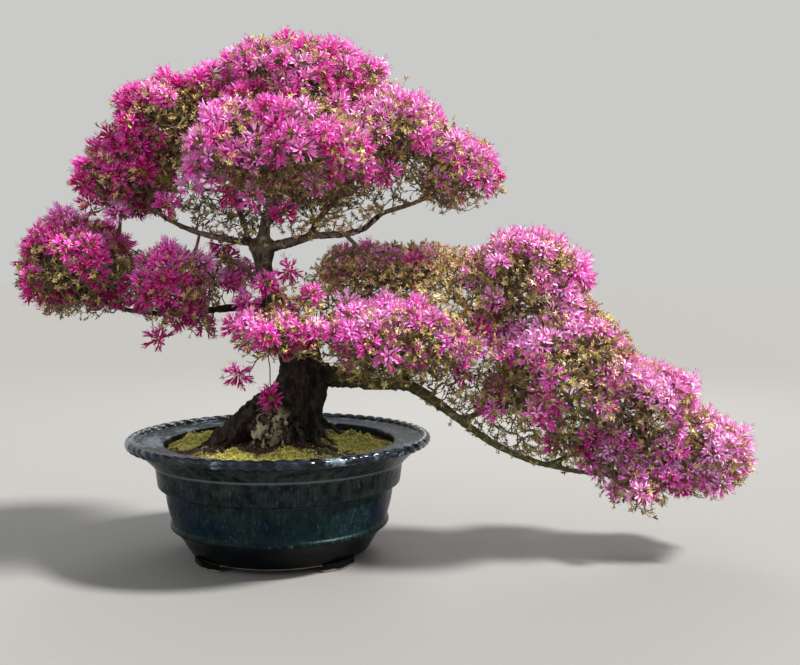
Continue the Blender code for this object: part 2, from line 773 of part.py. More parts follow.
def make_moss(parent):
    """Cushions laid on the soil, domed above and following the mound beneath."""
    for name, (x, y), long, deep, thick in MOSS:
        points, faces = [], []
        under = []
        for i in range(MOSS_RINGS + 1):
            share = i / MOSS_RINGS
            for k in range(MOSS_SEGMENTS if i else 1):
                turn = 2 * math.pi * k / MOSS_SEGMENTS
                reach = share * moss_wave(turn, x)
                px = x + long * reach * math.cos(turn)
                py = y + deep * reach * math.sin(turn)
                ground = soil_height(px, py) + SOFT_GAP
                dome = thick * (MOSS_EDGE + (1 - MOSS_EDGE) * math.sqrt(1 - share**2))
                points.append((px, py, ground + dome))
                under.append((px, py, ground))
        count = len(points)
        points += under
        for k in range(MOSS_SEGMENTS):
            j = (k + 1) % MOSS_SEGMENTS
            faces.append((0, 1 + k, 1 + j))
            faces.append((count, count + 1 + j, count + 1 + k))
            for i in range(MOSS_RINGS - 1):
                a, b = 1 + i * MOSS_SEGMENTS, 1 + (i + 1) * MOSS_SEGMENTS
                faces.append((a + k, b + k, b + j, a + j))
                faces.append((count + a + k, count + a + j, count + b + j, count + b + k))
            rim = 1 + (MOSS_RINGS - 1) * MOSS_SEGMENTS
            faces.append((rim + k, count + rim + k, count + rim + j, rim + j))
        add_object(name, mesh_of(name, points, faces), "moss", parent)


def centre_over_origin(parent):
    """Shifts the part so that the origin is the bottom centre of its overall box."""
    scene = bpy.context.evaluated_depsgraph_get()
    spots = []
    for thing in parent.children:
        if thing.hide_render or thing.type != "MESH":
            continue
        final = thing.evaluated_get(scene)
        spots += [final.matrix_world @ Vector(corner) for corner in final.bound_box]
    for i in range(2):
        low, high = min(spot[i] for spot in spots), max(spot[i] for spot in spots)
        parent.location[i] -= (low + high) / 2


def main():
    clear_scene()
    bonsai = bpy.data.objects.new("bonsai", None)
    bpy.context.scene.collection.objects.link(bonsai)
    make_pot(bonsai)
    make_drainage(bonsai)
    clearing = make_wood(bonsai)
    make_soil(bonsai, clearing)
    make_moss(bonsai)
    for cloud in CLOUDS:
        make_cloud(cloud, bonsai, clearing)
    bpy.context.view_layer.update()
    centre_over_origin(bonsai)


main()
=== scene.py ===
"""The looks of a flowering azalea bonsai in a round glazed pot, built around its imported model.

Metres, +Z up, in the model's own frame: the tree cascades towards +X and its front faces -Y. The
wood, the pot and the soil are new fine meshes over the model's plain ones. The canopy's clouds give
an outer skin, over which trusses of flowers are spread, and twigs grow from the wood to carry them
and the whorls of small leaves between.
"""

import logging
import math
from collections.abc import Iterable, Sequence
from dataclasses import dataclass, field
from enum import Enum

import bmesh
import bpy
import numpy as np
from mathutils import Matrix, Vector, noise
from mathutils.bvhtree import BVHTree
from mathutils.geometry import delaunay_2d_cdt


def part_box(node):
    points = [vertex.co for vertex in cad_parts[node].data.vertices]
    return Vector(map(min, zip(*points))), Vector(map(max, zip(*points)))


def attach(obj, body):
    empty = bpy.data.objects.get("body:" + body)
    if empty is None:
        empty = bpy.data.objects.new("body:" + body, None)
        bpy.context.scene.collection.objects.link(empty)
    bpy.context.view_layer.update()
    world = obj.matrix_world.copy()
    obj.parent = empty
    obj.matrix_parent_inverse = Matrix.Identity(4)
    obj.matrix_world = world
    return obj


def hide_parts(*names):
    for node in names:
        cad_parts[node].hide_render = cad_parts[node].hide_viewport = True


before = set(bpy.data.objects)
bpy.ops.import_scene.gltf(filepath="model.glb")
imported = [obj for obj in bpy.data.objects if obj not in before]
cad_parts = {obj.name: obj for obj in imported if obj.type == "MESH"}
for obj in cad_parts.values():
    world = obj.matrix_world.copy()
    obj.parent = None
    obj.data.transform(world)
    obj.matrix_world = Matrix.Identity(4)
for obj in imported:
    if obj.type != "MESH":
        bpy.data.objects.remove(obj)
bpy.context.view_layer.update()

log = logging.getLogger("bonsai")

SEED = 11
BAKE_MAP = "OFBake"
MAP_EDGE = 0.03  # the map's margin above and below the rows of the laid copies
MAP_WIDTH = 0.012  # half the width that a laid copy takes on the map
UP = np.array([0.0, 0.0, 1.0])
FULL_TURN = 2 * math.pi

Triple = tuple[float, float, float]
Colour = Triple
Array = np.ndarray
Chance = np.random.Generator


class Slot(Enum):
    """Names for the materials' slots."""

    GLAZE = "glaze"
    SOIL = "soil"
    MOSS = "moss"
    SCREEN = "screen"
    WIRE = "wire"
    BARK = "bark"
    FOLIAGE = "foliage"
    BLOSSOM = "blossom"


# Shader arithmetic


class Signal:
    """A shader socket's value, which can be used in arithmetic."""

    def __init__(self, bench: "Bench", socket: bpy.types.NodeSocket) -> None:
        """Wraps one output socket of a bench's node tree."""
        self.bench = bench
        self.socket = socket

    def _maths(self, operation: str, *values: "Signal | float") -> "Signal":
        """Adds a Math node.

        Args:
            operation: the node's operation.
            values: its inputs, in order.

        Returns:
            The node's value.
        """
        inputs = dict(enumerate(values))
        return self.bench.add("ShaderNodeMath", {"operation": operation}, inputs)

    def __add__(self, other: "Signal | float") -> "Signal":
        """Self plus other."""
        return self._maths("ADD", self, other)

    def __radd__(self, other: float) -> "Signal":
        """Other plus self."""
        return self._maths("ADD", other, self)

    def __sub__(self, other: "Signal | float") -> "Signal":
        """Self minus other."""
        return self._maths("SUBTRACT", self, other)

    def __rsub__(self, other: float) -> "Signal":
        """Other minus self."""
        return self._maths("SUBTRACT", other, self)

    def __mul__(self, other: "Signal | float") -> "Signal":
        """Self times other."""
        return self._maths("MULTIPLY", self, other)

    def __rmul__(self, other: float) -> "Signal":
        """Other times self."""
        return self._maths("MULTIPLY", other, self)

    def wave(self) -> "Signal":
        """The sine of self, in radians."""
        return self._maths("SINE", self)

    def turn(self, other: "Signal") -> "Signal":
        """The angle whose tangent is self over other."""
        return self._maths("ARCTAN2", self, other)

    def highest(self, other: "Signal | float") -> "Signal":
        """The greater of self and other."""
        return self._maths("MAXIMUM", self, other)

    def between(self, low: float, high: float) -> "Signal":
        """A smooth step.

        Args:
            low: where it starts to rise from 0.
            high: where it has reached 1.

        Returns:
            The step's value, from 0 to 1.
        """
        return self.bench.add(
            "ShaderNodeMapRange",
            {"interpolation_type": "SMOOTHSTEP"},
            {"Value": self, "From Min": low, "From Max": high},
        )


class Bench:
    """One finish's node tree: a Principled shader and the nodes that feed it."""

    def __init__(self, name: str) -> None:
        """Starts a material of that name."""
        self.material = bpy.data.materials.new(name)
        self.material.use_nodes = True
        self.tree = self.material.node_tree
        self.shader = self.tree.nodes["Principled BSDF"]

    def add(
        self,
        kind: str,
        settings: dict | None = None,
        inputs: dict | None = None,
        output: int = 0,
    ) -> Signal:
        """Adds a node.

        Args:
            kind: the node's type.
            settings: its own settings, with a ramp's stops as (position, colour) under "stops".
            inputs: values or signals for its sockets, by name or number.
            output: which of its outputs is wanted.

        Returns:
            That output.
        """
        node = self.tree.nodes.new(kind)
        for key, value in (settings or {}).items():
            if key == "stops":
                self._set_stops(node.color_ramp, value)
            else:
                setattr(node, key, value)
        for key, value in (inputs or {}).items():
            self.feed(node.inputs[key], value)
        return Signal(self, node.outputs[output])

    @staticmethod
    def _set_stops(band: bpy.types.ColorRamp, stops: Sequence[tuple[float, Colour]]) -> None:
        """Gives a ramp its stops.

        Args:
            band: the ramp.
            stops: each stop's position and colour, from low to high.
        """
        while len(band.elements) < len(stops):
            band.elements.new(1.0)
        for element, (position, colour) in zip(band.elements, stops, strict=True):
            element.position = position
            element.color = (*colour, 1.0)

    def feed(self, socket: bpy.types.NodeSocket, value: "Signal | float | tuple") -> None:
        """Links a signal to a socket, or sets the socket to a plain value.

        Args:
            socket: the input socket.
            value: the signal, number or colour that it gets.
        """
        if isinstance(value, Signal):
            self.tree.links.new(value.socket, socket)
        elif socket.type == "RGBA":
            socket.default_value = (*value, 1.0)
        else:
            socket.default_value = value

    def place(self) -> Signal:
        """The place on the object, in metres."""
        return self.add("ShaderNodeTexCoord", output=3)

    def part(self, vector: Signal, axis: int) -> Signal:
        """One of a vector's three parts."""
        return self.add("ShaderNodeSeparateXYZ", None, {0: vector}, axis)

    def scaled(self, vector: Signal, sizes: Triple) -> Signal:
        """A vector with each part multiplied by its own size."""
        return self.add("ShaderNodeVectorMath", {"operation": "MULTIPLY"}, {0: vector, 1: sizes})

    def distance(self, vector: Signal, spot: Iterable[float]) -> Signal:
        """How far a place is from a spot."""
        settings = {"operation": "DISTANCE"}
        return self.add("ShaderNodeVectorMath", settings, {0: vector, 1: tuple(spot)}, 1)

    def off_axis(self, vector: Signal, axis: tuple[float, float]) -> Signal:
        """How far a place is from an upright axis."""
        return self.distance(self.scaled(vector, (1.0, 1.0, 0.0)), (*axis, 0.0))

    def map_place(self) -> Signal:
        """The place on the map that the laid copies carry."""
        return self.add("ShaderNodeUVMap", {"uv_map": BAKE_MAP})

    def around(self, vector: Signal, axis: tuple[float, float], sizes: Triple) -> Signal:
        """A place's turn round an upright axis, its distance from it and its height.

        Args:
            vector: the place.
            axis: where the axis stands.
            sizes: what the turn, the distance and the height are each multiplied by.

        Returns:
            The three as a vector.
        """
        side, back = self.part(vector, 0) - axis[0], self.part(vector, 1) - axis[1]
        parts = (back.turn(side), self.off_axis(vector, axis), self.part(vector, 2))
        inputs = {i: part * size for i, (part, size) in enumerate(zip(parts, sizes, strict=True))}
        return self.add("ShaderNodeCombineXYZ", None, inputs)

    def noise(
        self, vector: Signal, scale: float, detail: float = 3.0, rough: float = 0.5
    ) -> Signal:
        """Cloudy noise.

        Args:
            vector: where it is read.
            scale: how fine it is.
            detail: how many finer layers it has.
            rough: how strong the finer layers are.

        Returns:
            A value about 0.5.
        """
        inputs = {"Vector": vector, "Scale": scale, "Detail": detail, "Roughness": rough}
        return self.add("ShaderNodeTexNoise", None, inputs)

    def cells(self, vector: Signal, scale: float, feature: str = "F1") -> Signal:
        """The distance to the nearest of scattered points, or to the border between them."""
        inputs = {"Vector": vector, "Scale": scale}
        return self.add("ShaderNodeTexVoronoi", {"feature": feature}, inputs)

    def ramp(self, value: Signal, stops: Sequence[tuple[float, Colour]]) -> Signal:
        """The colour of a band of colours at a value."""
        return self.add("ShaderNodeValToRGB", {"stops": stops}, {0: value})

    def blend(
        self, share: "Signal | float", first: "Signal | Colour", second: "Signal | Colour"
    ) -> Signal:
        """A mix of two colours.

        Args:
            share: how much of the second there is.
            first: the colour at 0.
            second: the colour at 1.

        Returns:
            The mixed colour.
        """
        settings = {"data_type": "RGBA"}
        return self.add("ShaderNodeMix", settings, {0: share, 6: first, 7: second}, 2)

    def bump(self, height: Signal, depth: float) -> Signal:
        """A normal from a height, where a height of 1 is so many metres deep."""
        return self.add("ShaderNodeBump", None, {"Height": height, "Distance": depth})

    def dress(self, sockets: dict) -> bpy.types.Material:
        """Feeds the shader.

        Args:
            sockets: its inputs' values or signals, by name.

        Returns:
            The finished material.
        """
        for name, value in sockets.items():
            self.feed(self.shader.inputs[name], value)
        return self.material


# Finishes


@dataclass(frozen=True)
class PetalFinish:
    """Magenta petals, from deep to lilac-pink, with pink stamens and a green flower stalk."""

    name: str = "petal_magenta"
    shades: tuple[tuple[float, Colour], ...] = (
        (0.0, (0.4, 0.001, 0.12)),
        (0.25, (0.7, 0.003, 0.29)),
        (0.5, (0.96, 0.08, 0.62)),
        (0.76, (1.0, 0.34, 0.86)),
        (1.0, (1.0, 0.62, 0.94)),
    )
    throat: Colour = (0.46, 0.006, 0.1)
    edge: Colour = (1.0, 0.64, 0.98)
    stamen: Colour = (0.9, 0.22, 0.6)
    anther: Colour = (0.2, 0.04, 0.08)
    stalk: Colour = (0.3, 0.27, 0.05)

    def make(self) -> bpy.types.Material:
        """Returns the material."""
        bench = Bench(self.name)
        place = bench.map_place()
        along, flower = bench.part(place, 0), bench.part(place, 1)
        # The map row's tint carries painted shade and painted light from the trusses: deep on the
        # left and below, pale on top and to the right.
        colour = bench.ramp(flower, self.shades)
        colour = bench.blend((1 - along.between(0.1, 0.32)) * 0.75, colour, self.throat)
        # Paler petal tips: partly the petals' own colour, partly painted light, stronger on
        # paler-tinted flowers.
        colour = bench.blend(along.between(0.4, 0.7) * (0.08 + flower * 0.72), colour, self.edge)
        colour = bench.blend(along.between(0.69, 0.71), colour, self.stamen)
        anther = along.between(0.885, 0.9) * (1 - along.between(0.925, 0.935))
        colour = bench.blend(anther, colour, self.anther)
        colour = bench.blend(along.between(0.935, 0.945), colour, self.stalk)
        return bench.dress({"Base Color": colour, "Roughness": 0.6, "Specular IOR Level": 0.12})


@dataclass(frozen=True)
class LeafFinish:
    """Small leaves, tinted from dark olive to yellow-green and bronze, the tint holding painted
    shade inside the tree and on the left and painted light on top and to the right.
    """

    name: str = "leaf_olive"
    shades: tuple[tuple[float, Colour], ...] = (
        (0.0, (0.055, 0.042, 0.018)),
        (0.26, (0.27, 0.21, 0.08)),
        (0.5, (0.6, 0.48, 0.15)),
        (0.68, (0.88, 0.71, 0.36)),
        (0.82, (0.62, 0.33, 0.2)),
        (1.0, (0.48, 0.13, 0.11)),
    )
    rib: Colour = (0.42, 0.4, 0.15)

    def make(self) -> bpy.types.Material:
        """Returns the material."""
        bench = Bench(self.name)
        place = bench.map_place()
        along, leaf = bench.part(place, 0), bench.part(place, 1)
        # The leaf's tint row carries painted light and painted shade from the canopy.
        colour = bench.ramp(leaf, self.shades)
        base = (1 - along.between(0.05, 0.45)) * (leaf * 90.0).wave().between(-0.5, 1.0)
        colour = bench.blend(base * 0.35, colour, self.rib)
        return bench.dress({"Base Color": colour, "Roughness": 0.42, "Specular IOR Level": 0.4})


@dataclass(frozen=True)
class TwigFinish:
    """Thin twigs, red-brown at their tips and grey-brown where they are thick."""

    name: str = "twig_brown"
    young: Colour = (0.21, 0.155, 0.06)
    old: Colour = (0.15, 0.118, 0.07)
    pale: Colour = (0.42, 0.36, 0.24)

    def make(self) -> bpy.types.Material:
        """Returns the material."""
        bench = Bench(self.name)
        place = bench.map_place()
        along, twig = bench.part(place, 0), bench.part(place, 1)
        colour = bench.blend(along, self.old, self.young)
        fleck = bench.noise(bench.scaled(place, (60.0, 240.0, 1.0)), 1.0, 3.0)
        lichen = fleck.between(0.56, 0.7) * (twig * 47.0).wave().between(-0.4, 0.8)
        colour = bench.blend(lichen * 0.7, colour, self.pale)
        return bench.dress({"Base Color": colour, "Roughness": 0.8})


@dataclass(frozen=True)
class BarkFinish:
    """Nearly black flaky bark low on the trunk, lichen-grey limbs and weathered pale roots."""

    name: str = "bark_dark"
    black: Colour = (0.006, 0.004, 0.003)
    brown: Colour = (0.05, 0.033, 0.02)
    limb: Colour = (0.23, 0.185, 0.125)
    olive: Colour = (0.12, 0.12, 0.04)
    lichen: Colour = (0.56, 0.52, 0.4)
    worn: Colour = (0.6, 0.52, 0.34)
    limb_low: float = 0.38
    limb_high: float = 0.56
    root: Triple = (-0.192, -0.078, 0.212)
    root_size: float = 0.052

    def make(self) -> bpy.types.Material:
        """Returns the material."""
        bench = Bench(self.name)
        place = bench.place()
        side, height = bench.part(place, 0), bench.part(place, 2)
        ridges = bench.noise(bench.scaled(place, (1.0, 1.0, 0.35)), 95.0, 6.0, 0.65)
        flakes = bench.cells(bench.scaled(place, (1.0, 1.0, 0.4)), 120.0, "DISTANCE_TO_EDGE")
        colour = bench.blend(ridges.between(0.4, 0.64), self.black, self.brown)
        high = height.between(self.limb_low, self.limb_high)
        colour = bench.blend(high * ridges.between(0.34, 0.6) * 0.8, colour, self.limb)
        cascade = side.between(-0.13, 0.0) * (1 - height.between(0.36, 0.46))
        colour = bench.blend(cascade * 0.7, colour, self.olive)
        spots = bench.noise(place, 62.0, 5.0, 0.7).between(0.54, 0.64)
        colour = bench.blend(spots * (high * 0.65 + cascade * 0.3 + 0.06), colour, self.lichen)
        near = 1 - bench.distance(place, self.root).between(self.root_size * 0.45, self.root_size)
        worn = near * bench.noise(place, 58.0, 6.0, 0.72).between(0.46, 0.56)
        colour = bench.blend(worn * 0.9, colour, self.worn)
        settings = {
            "Base Color": colour,
            "Roughness": 0.85,
            "Specular IOR Level": 0.3,
            "Normal": bench.bump(ridges * 0.7 + flakes * 1.2, 0.0028),
        }
        return bench.dress(settings)


@dataclass(frozen=True)
class GlazeFinish:
    """A streaked dark blue-green glaze that breaks pale on the rim and bare at the foot."""

    name: str = "glaze_streaked"
    black: Colour = (0.001, 0.0015, 0.002)
    navy: Colour = (0.001, 0.0075, 0.021)
    teal: Colour = (0.0035, 0.018, 0.018)
    grey: Colour = (0.03, 0.042, 0.037)
    brown: Colour = (0.0065, 0.0085, 0.0075)
    frost: Colour = (0.24, 0.33, 0.39)
    clay: Colour = (0.27, 0.2, 0.15)

    def body(self, bench: Bench, sizes: "Pot") -> Signal:
        """The colour below the rim.

        Args:
            bench: the node tree.
            sizes: the pot, whose heights set where the glaze changes.

        Returns:
            The colour.
        """
        place = bench.place()
        cloudy = bench.noise(place, 13.0, 4.0, 0.6)
        mottle = bench.noise(bench.scaled(place, (1.0, 1.0, 0.7)), 60.0, 6.0, 0.7)
        streak = bench.noise(bench.scaled(place, (330.0, 330.0, 24.0)), 1.0, 5.0, 0.65)
        thread = bench.noise(bench.scaled(place, (800.0, 800.0, 70.0)), 1.0, 3.0, 0.6)
        height = bench.part(place, 2) + (cloudy - 0.5) * 0.024 + (streak - 0.5) * 0.03
        colour = bench.blend(cloudy.between(0.42, 0.58), self.navy, self.teal)
        edge = height.between(sizes.ridge_z + 0.016, sizes.ridge_z + 0.004)
        colour = bench.blend(edge * 0.6, colour, self.teal)
        upper = height.between(sizes.ledge_z - 0.034, sizes.neck_z + 0.006)
        colour = bench.blend(upper * 0.75, colour, self.brown)
        colour = bench.blend(upper * mottle.between(0.4, 0.62) * 0.7, colour, self.grey)
        fur = streak.between(0.48, 0.66) * mottle.between(0.36, 0.58)
        colour = bench.blend(fur * (0.45 + upper * 0.25), colour, self.grey)
        colour = bench.blend(thread.between(0.56, 0.68) * fur * 0.55, colour, self.frost)
        colour = bench.blend(mottle.between(0.5, 0.36) * 0.65, colour, self.black)
        low = 1 - height.between(sizes.ridge_z - 0.012, sizes.ridge_z - 0.001)
        return bench.blend(low * 0.95, colour, self.black)

    def rope(self, bench: Bench, sizes: "Pot") -> Signal:
        """1 on the rope, and 0 on the flange inside it."""
        edge = sizes.rim_radius - sizes.rope_thickness
        return bench.off_axis(bench.place(), sizes.axis).between(edge - 0.004, edge)

    def rim(self, bench: Bench, sizes: "Pot") -> Signal:
        """The colour of the rope and the flange inside it.

        Args:
            bench: the node tree.
            sizes: the pot, whose axis and mouth the patches follow.

        Returns:
            The colour.
        """
        place = bench.place()
        left = sizes.axis[0] - sizes.mouth_radius
        far = 1 - bench.part(place, 0).between(left - 0.03, left + 0.045)
        broad = bench.noise(place, 17.0, 3.0, 0.5)
        swept = bench.around(place, sizes.axis, (11.0, 130.0, 60.0))
        patches = bench.noise(swept, 1.0, 6.0, 0.65)
        colour = bench.blend(patches.between(0.4, 0.54), self.black, self.navy)
        colour = bench.blend(patches.between(0.48, 0.62) * 0.5, colour, self.grey)
        frosted = (patches + (broad - 0.5) * 0.9 + far * 0.15).between(0.58, 0.74)
        return bench.blend(frosted * 0.85, colour, self.frost)

    def make(self, sizes: "Pot") -> bpy.types.Material:
        """Makes the glaze for a pot.

        Args:
            sizes: the pot.

        Returns:
            The material.
        """
        bench = Bench(self.name)
        place = bench.place()
        line = bench.part(place, 2)
        wander = bench.noise(place, 60.0, 4.0) - 0.5
        rim = line.between(sizes.rope_z - 0.011, sizes.rope_z - 0.006)
        colour = bench.blend(rim, self.body(bench, sizes), self.rim(bench, sizes))
        above = 1 - line.between(sizes.neck_z + 0.008, sizes.neck_z + 0.01)
        bead = line.between(sizes.neck_z + 0.004, sizes.neck_z + 0.006) * above
        colour = bench.blend(bead * 0.28, colour, self.frost)
        away = bench.off_axis(place, sizes.axis)
        bare = 1 - (line + wander * 0.004).between(sizes.base_z + 0.0015, sizes.base_z + 0.003)
        bare = bare * (1 - away.between(sizes.base_radius + 0.0012, sizes.base_radius + 0.002))
        worn = 1 - (line + wander * 0.006).between(0.002, 0.005)
        foot = 1 - line.between(sizes.base_z - 0.0008, sizes.base_z - 0.0002)
        clay = (bare * (1 - foot)).highest(worn)
        colour = bench.blend(clay, colour, self.clay)
        settings = {
            "Base Color": colour,
            "Roughness": 0.24 + clay * 0.6 + (wander + 0.3) * 0.2,
            "Coat Weight": rim * self.rope(bench, sizes) * 0.45,
            "Coat Roughness": 0.1,
            "Specular IOR Level": 0.09,
            "Normal": bench.bump(bench.noise(place, 90.0, 5.0, 0.6), 0.0014),
        }
        return bench.dress(settings)


@dataclass(frozen=True)
class SoilFinish:
    """Damp dark maroon-brown soil, greened with moss dust here and there."""

    name: str = "soil_damp"
    dark: Colour = (0.016, 0.007, 0.005)
    brown: Colour = (0.07, 0.03, 0.02)
    green: Colour = (0.2, 0.19, 0.03)

    def make(self) -> bpy.types.Material:
        """Returns the material."""
        bench = Bench(self.name)
        place = bench.place()
        crumbs = bench.cells(place, 320.0)
        lumps = bench.noise(place, 140.0, 5.0, 0.65)
        colour = bench.blend(lumps.between(0.35, 0.65), self.dark, self.brown)
        moss = bench.noise(place, 30.0, 6.0, 0.7).between(0.5, 0.62)
        colour = bench.blend(moss * 0.85, colour, self.green)
        normal = bench.bump(crumbs + lumps, 0.0016)
        return bench.dress({"Base Color": colour, "Roughness": 0.92, "Normal": normal})


@dataclass(frozen=True)
class GrainFinish:
    """Loose grains of soil: maroon, brown and a few pale ones."""

    name: str = "soil_grain"
    dark: Colour = (0.03, 0.012, 0.009)
    brown: Colour = (0.12, 0.055, 0.035)
    pale: Colour = (0.38, 0.3, 0.23)

    def make(self) -> bpy.types.Material:
        """Returns the material."""
        bench = Bench(self.name)
        place = bench.map_place()
        grain = bench.part(place, 1)
        colour = bench.blend((grain * 43.0).wave().between(-0.8, 0.8), self.dark, self.brown)
        colour = bench.blend((grain * 79.0).wave().between(0.86, 0.98), colour, self.pale)
        return bench.dress({"Base Color": colour, "Roughness": 0.9})


@dataclass(frozen=True)
class MossFinish:
    """Bright yellow-green moss, browner in its hollows."""

    name: str = "moss_bright"
    deep: Colour = (0.11, 0.085, 0.02)
    green: Colour = (0.68, 0.64, 0.09)
    bright: Colour = (1.0, 0.96, 0.4)

    def make(self) -> bpy.types.Material:
        """Returns the material."""
        bench = Bench(self.name)
        place = bench.map_place()
        along, shoot = bench.part(place, 0), bench.part(place, 1)
        colour = bench.ramp(along, [(0.0, self.deep), (0.45, self.green), (1.0, self.bright)])
        brown = (shoot * 61.0).wave().between(0.2, 1.0)
        colour = bench.blend(brown * 0.45, colour, self.deep)
        return bench.dress({"Base Color": colour, "Roughness": 0.85, "Sheen Weight": 0.2})


@dataclass(frozen=True)
class ScreenFinish:
    """Black garden plastic, dusty in patches."""

    name: str = "screen_plastic"
    black: Colour = (0.012, 0.013, 0.012)
    dust: Colour = (0.1, 0.085, 0.065)

    def make(self) -> bpy.types.Material:
        """Returns the material."""
        bench = Bench(self.name)
        place = bench.place()
        dusty = bench.noise(place, 120.0, 5.0).between(0.5, 0.75)
        grain = bench.noise(place, 1400.0, 2.0)
        colour = bench.blend(dusty * 0.7, self.black, self.dust)
        rough, normal = 0.45 + dusty * 0.4, bench.bump(grain, 0.0001)
        return bench.dress({"Base Color": colour, "Roughness": rough, "Normal": normal})


@dataclass(frozen=True)
class WireFinish:
    """Brown anodised wire, scratched where it was bent."""

    name: str = "wire_anodised"
    brown: Colour = (0.33, 0.17, 0.085)
    bare: Colour = (0.7, 0.69, 0.67)

    def make(self) -> bpy.types.Material:
        """Returns the material."""
        bench = Bench(self.name)
        place = bench.place()
        scratch = bench.noise(bench.scaled(place, (1.0, 1.0, 0.2)), 900.0, 4.0).between(0.6, 0.68)
        colour = bench.blend(scratch, self.brown, self.bare)
        return bench.dress({"Base Color": colour, "Roughness": 0.34, "Metallic": 1.0})


@dataclass(frozen=True)
class FloorFinish:
    """A plain pale studio floor."""

    name: str = "floor_pale"
    pale: Colour = (0.26, 0.257, 0.251)

    def make(self) -> bpy.types.Material:
        """Returns the material."""
        return Bench(self.name).dress({"Base Color": self.pale, "Roughness": 0.75})


# Meshes


def normalised(vectors: Array) -> Array:
    """The vectors, each made one unit long."""
    return vectors / np.maximum(np.linalg.norm(vectors, axis=-1, keepdims=True), 1e-12)


@dataclass(frozen=True)
class Form:
    """A mesh as arrays: points, faces of one number of corners, and a map place for each point."""

    points: Array
    faces: Array
    spots: Array | None = None

    def object(
        self, name: str, material: bpy.types.Material, smooth: bool = True
    ) -> bpy.types.Object:
        """Makes a scene object of the form.

        Args:
            name: the piece's name.
            material: its finish.
            smooth: whether it is shaded smooth.

        Returns:
            The object.
        """
        mesh = bpy.data.meshes.new(name)
        count, corners = self.faces.shape
        mesh.vertices.add(len(self.points))
        mesh.vertices.foreach_set("co", self.points.astype(np.float32).ravel())
        mesh.loops.add(count * corners)
        mesh.loops.foreach_set("vertex_index", self.faces.astype(np.int32).ravel())
        mesh.polygons.add(count)
        starts = np.arange(0, count * corners, corners, dtype=np.int32)
        mesh.polygons.foreach_set("loop_start", starts)
        mesh.update(calc_edges=True)
        if self.spots is not None:
            layer = mesh.uv_layers.new(name=BAKE_MAP)
            spots = self.spots[self.faces.ravel()].astype(np.float32)
            layer.data.foreach_set("uv", spots.ravel())
        if smooth:
            mesh.shade_smooth()
        mesh.materials.append(material)
        thing = bpy.data.objects.new(name, mesh)
        bpy.context.scene.collection.objects.link(thing)
        return thing

    def turned(self, angle: float) -> "Form":
        """The form turned about the upright axis by an angle in radians."""
        cos, sin = math.cos(angle), math.sin(angle)
        spin = np.array([[cos, -sin, 0.0], [sin, cos, 0.0], [0.0, 0.0, 1.0]])
        return Form(self.points @ spin.T, self.faces, self.spots)

    def lifted(self, angle: float) -> "Form":
        """The form tipped up about the Y axis by an angle in radians."""
        cos, sin = math.cos(angle), math.sin(angle)
        tip = np.array([[cos, 0.0, -sin], [0.0, 1.0, 0.0], [sin, 0.0, cos]])
        return Form(self.points @ tip.T, self.faces, self.spots)

    def moved(self, shift: Sequence[float]) -> "Form":
        """The form moved by a shift."""
        return Form(self.points + np.array(shift), self.faces, self.spots)

    def as_triangles(self) -> "Form":
        """The form with each four-cornered face cut in two."""
        if self.faces.shape[1] == 3:
            return self
        cut = np.concatenate([self.faces[:, [0, 1, 2]], self.faces[:, [0, 2, 3]]])
        return Form(self.points, cut, self.spots)

    def tree(self) -> BVHTree:
        """A search tree over the form's faces."""
        return BVHTree.FromPolygons(self.points.tolist(), self.faces.tolist())


def even_turns(count: int) -> Array:
    """Even steps right round, in radians."""
    return FULL_TURN * np.arange(count) / count


def ring_faces(rings: int, sides: int) -> Array:
    """The faces between rings of points.

    Args:
        rings: how many rings there are.
        sides: how many points each has.

    Returns:
        Faces of four corners, ring by ring.
    """
    rows, ks = np.meshgrid(np.arange(rings - 1), np.arange(sides), indexing="ij")
    here, above, js = rows * sides, (rows + 1) * sides, (ks + 1) % sides
    corners = [here + ks, here + js, above + js, above + ks]
    return np.stack(corners, axis=-1).reshape(-1, 4)


def joined(forms: Sequence[Form]) -> Form:
    """Several forms as one.

    Args:
        forms: the forms, whose faces all have the same number of corners.

    Returns:
        The one form, with map places if the first has them.
    """
    shifts = np.cumsum([0] + [len(form.points) for form in forms])
    points = np.concatenate([form.points for form in forms])
    moved = (form.faces + shift for form, shift in zip(forms, shifts, strict=False))
    faces = np.concatenate(list(moved))
    if forms[0].spots is None:
        return Form(points, faces)
    return Form(points, faces, np.concatenate([form.spots for form in forms]))


def blade(stations: Sequence[tuple[float, float, float, float]], span: tuple[float, float]) -> Form:
    """A petal or a leaf along +X, folded along its middle.

    Args:
        stations: reach, height, width and the edges' rise above the middle, from base to tip.
        span: the stretch of the map's length that it takes.

    Returns:
        The sheet, with its upper side facing +Z.
    """
    points, spots, faces = [], [], []
    last = len(stations) - 1
    for i, (reach, height, width, fold) in enumerate(stations):
        along = span[0] + (span[1] - span[0]) * i / last
        for side in (-1, 0, 1):
            points.append((reach, side * width / 2, height + abs(side) * fold))
            spots.append((along, side))
    for i in range(last):
        for k in range(2):
            a = 3 * i + k
            faces.append((a, a + 3, a + 4, a + 1))
    return Form(np.array(points), np.array(faces), np.array(spots))


def stalk(path: Array, radii: Array, sides: int, span: tuple[float, float]) -> Form:
    """A tube along a path.

    Args:
        path: its centres, one row each.
        radii: its radius at each.
        sides: how many sides it has.
        span: the stretch of the map's length that it takes.

    Returns:
        The tube, open at both ends.
    """
    along = normalised(np.gradient(path, axis=0))
    helper = np.zeros(3)
    helper[np.argmin(np.abs(along.mean(axis=0)))] = 1.0
    side = normalised(np.cross(along, helper))
    other = np.cross(along, side)
    turns = even_turns(sides)
    ring = side[:, None] * np.cos(turns)[:, None] + other[:, None] * np.sin(turns)[:, None]
    points = (path[:, None] + np.asarray(radii)[:, None, None] * ring).reshape(-1, 3)
    length = np.repeat(np.linspace(span[0], span[1], len(path)), sides)
    across = np.tile(np.abs(np.linspace(-1, 1, sides, endpoint=False)) * 2 - 1, len(path))
    return Form(points, ring_faces(len(path), sides), np.stack([length, across], axis=1))


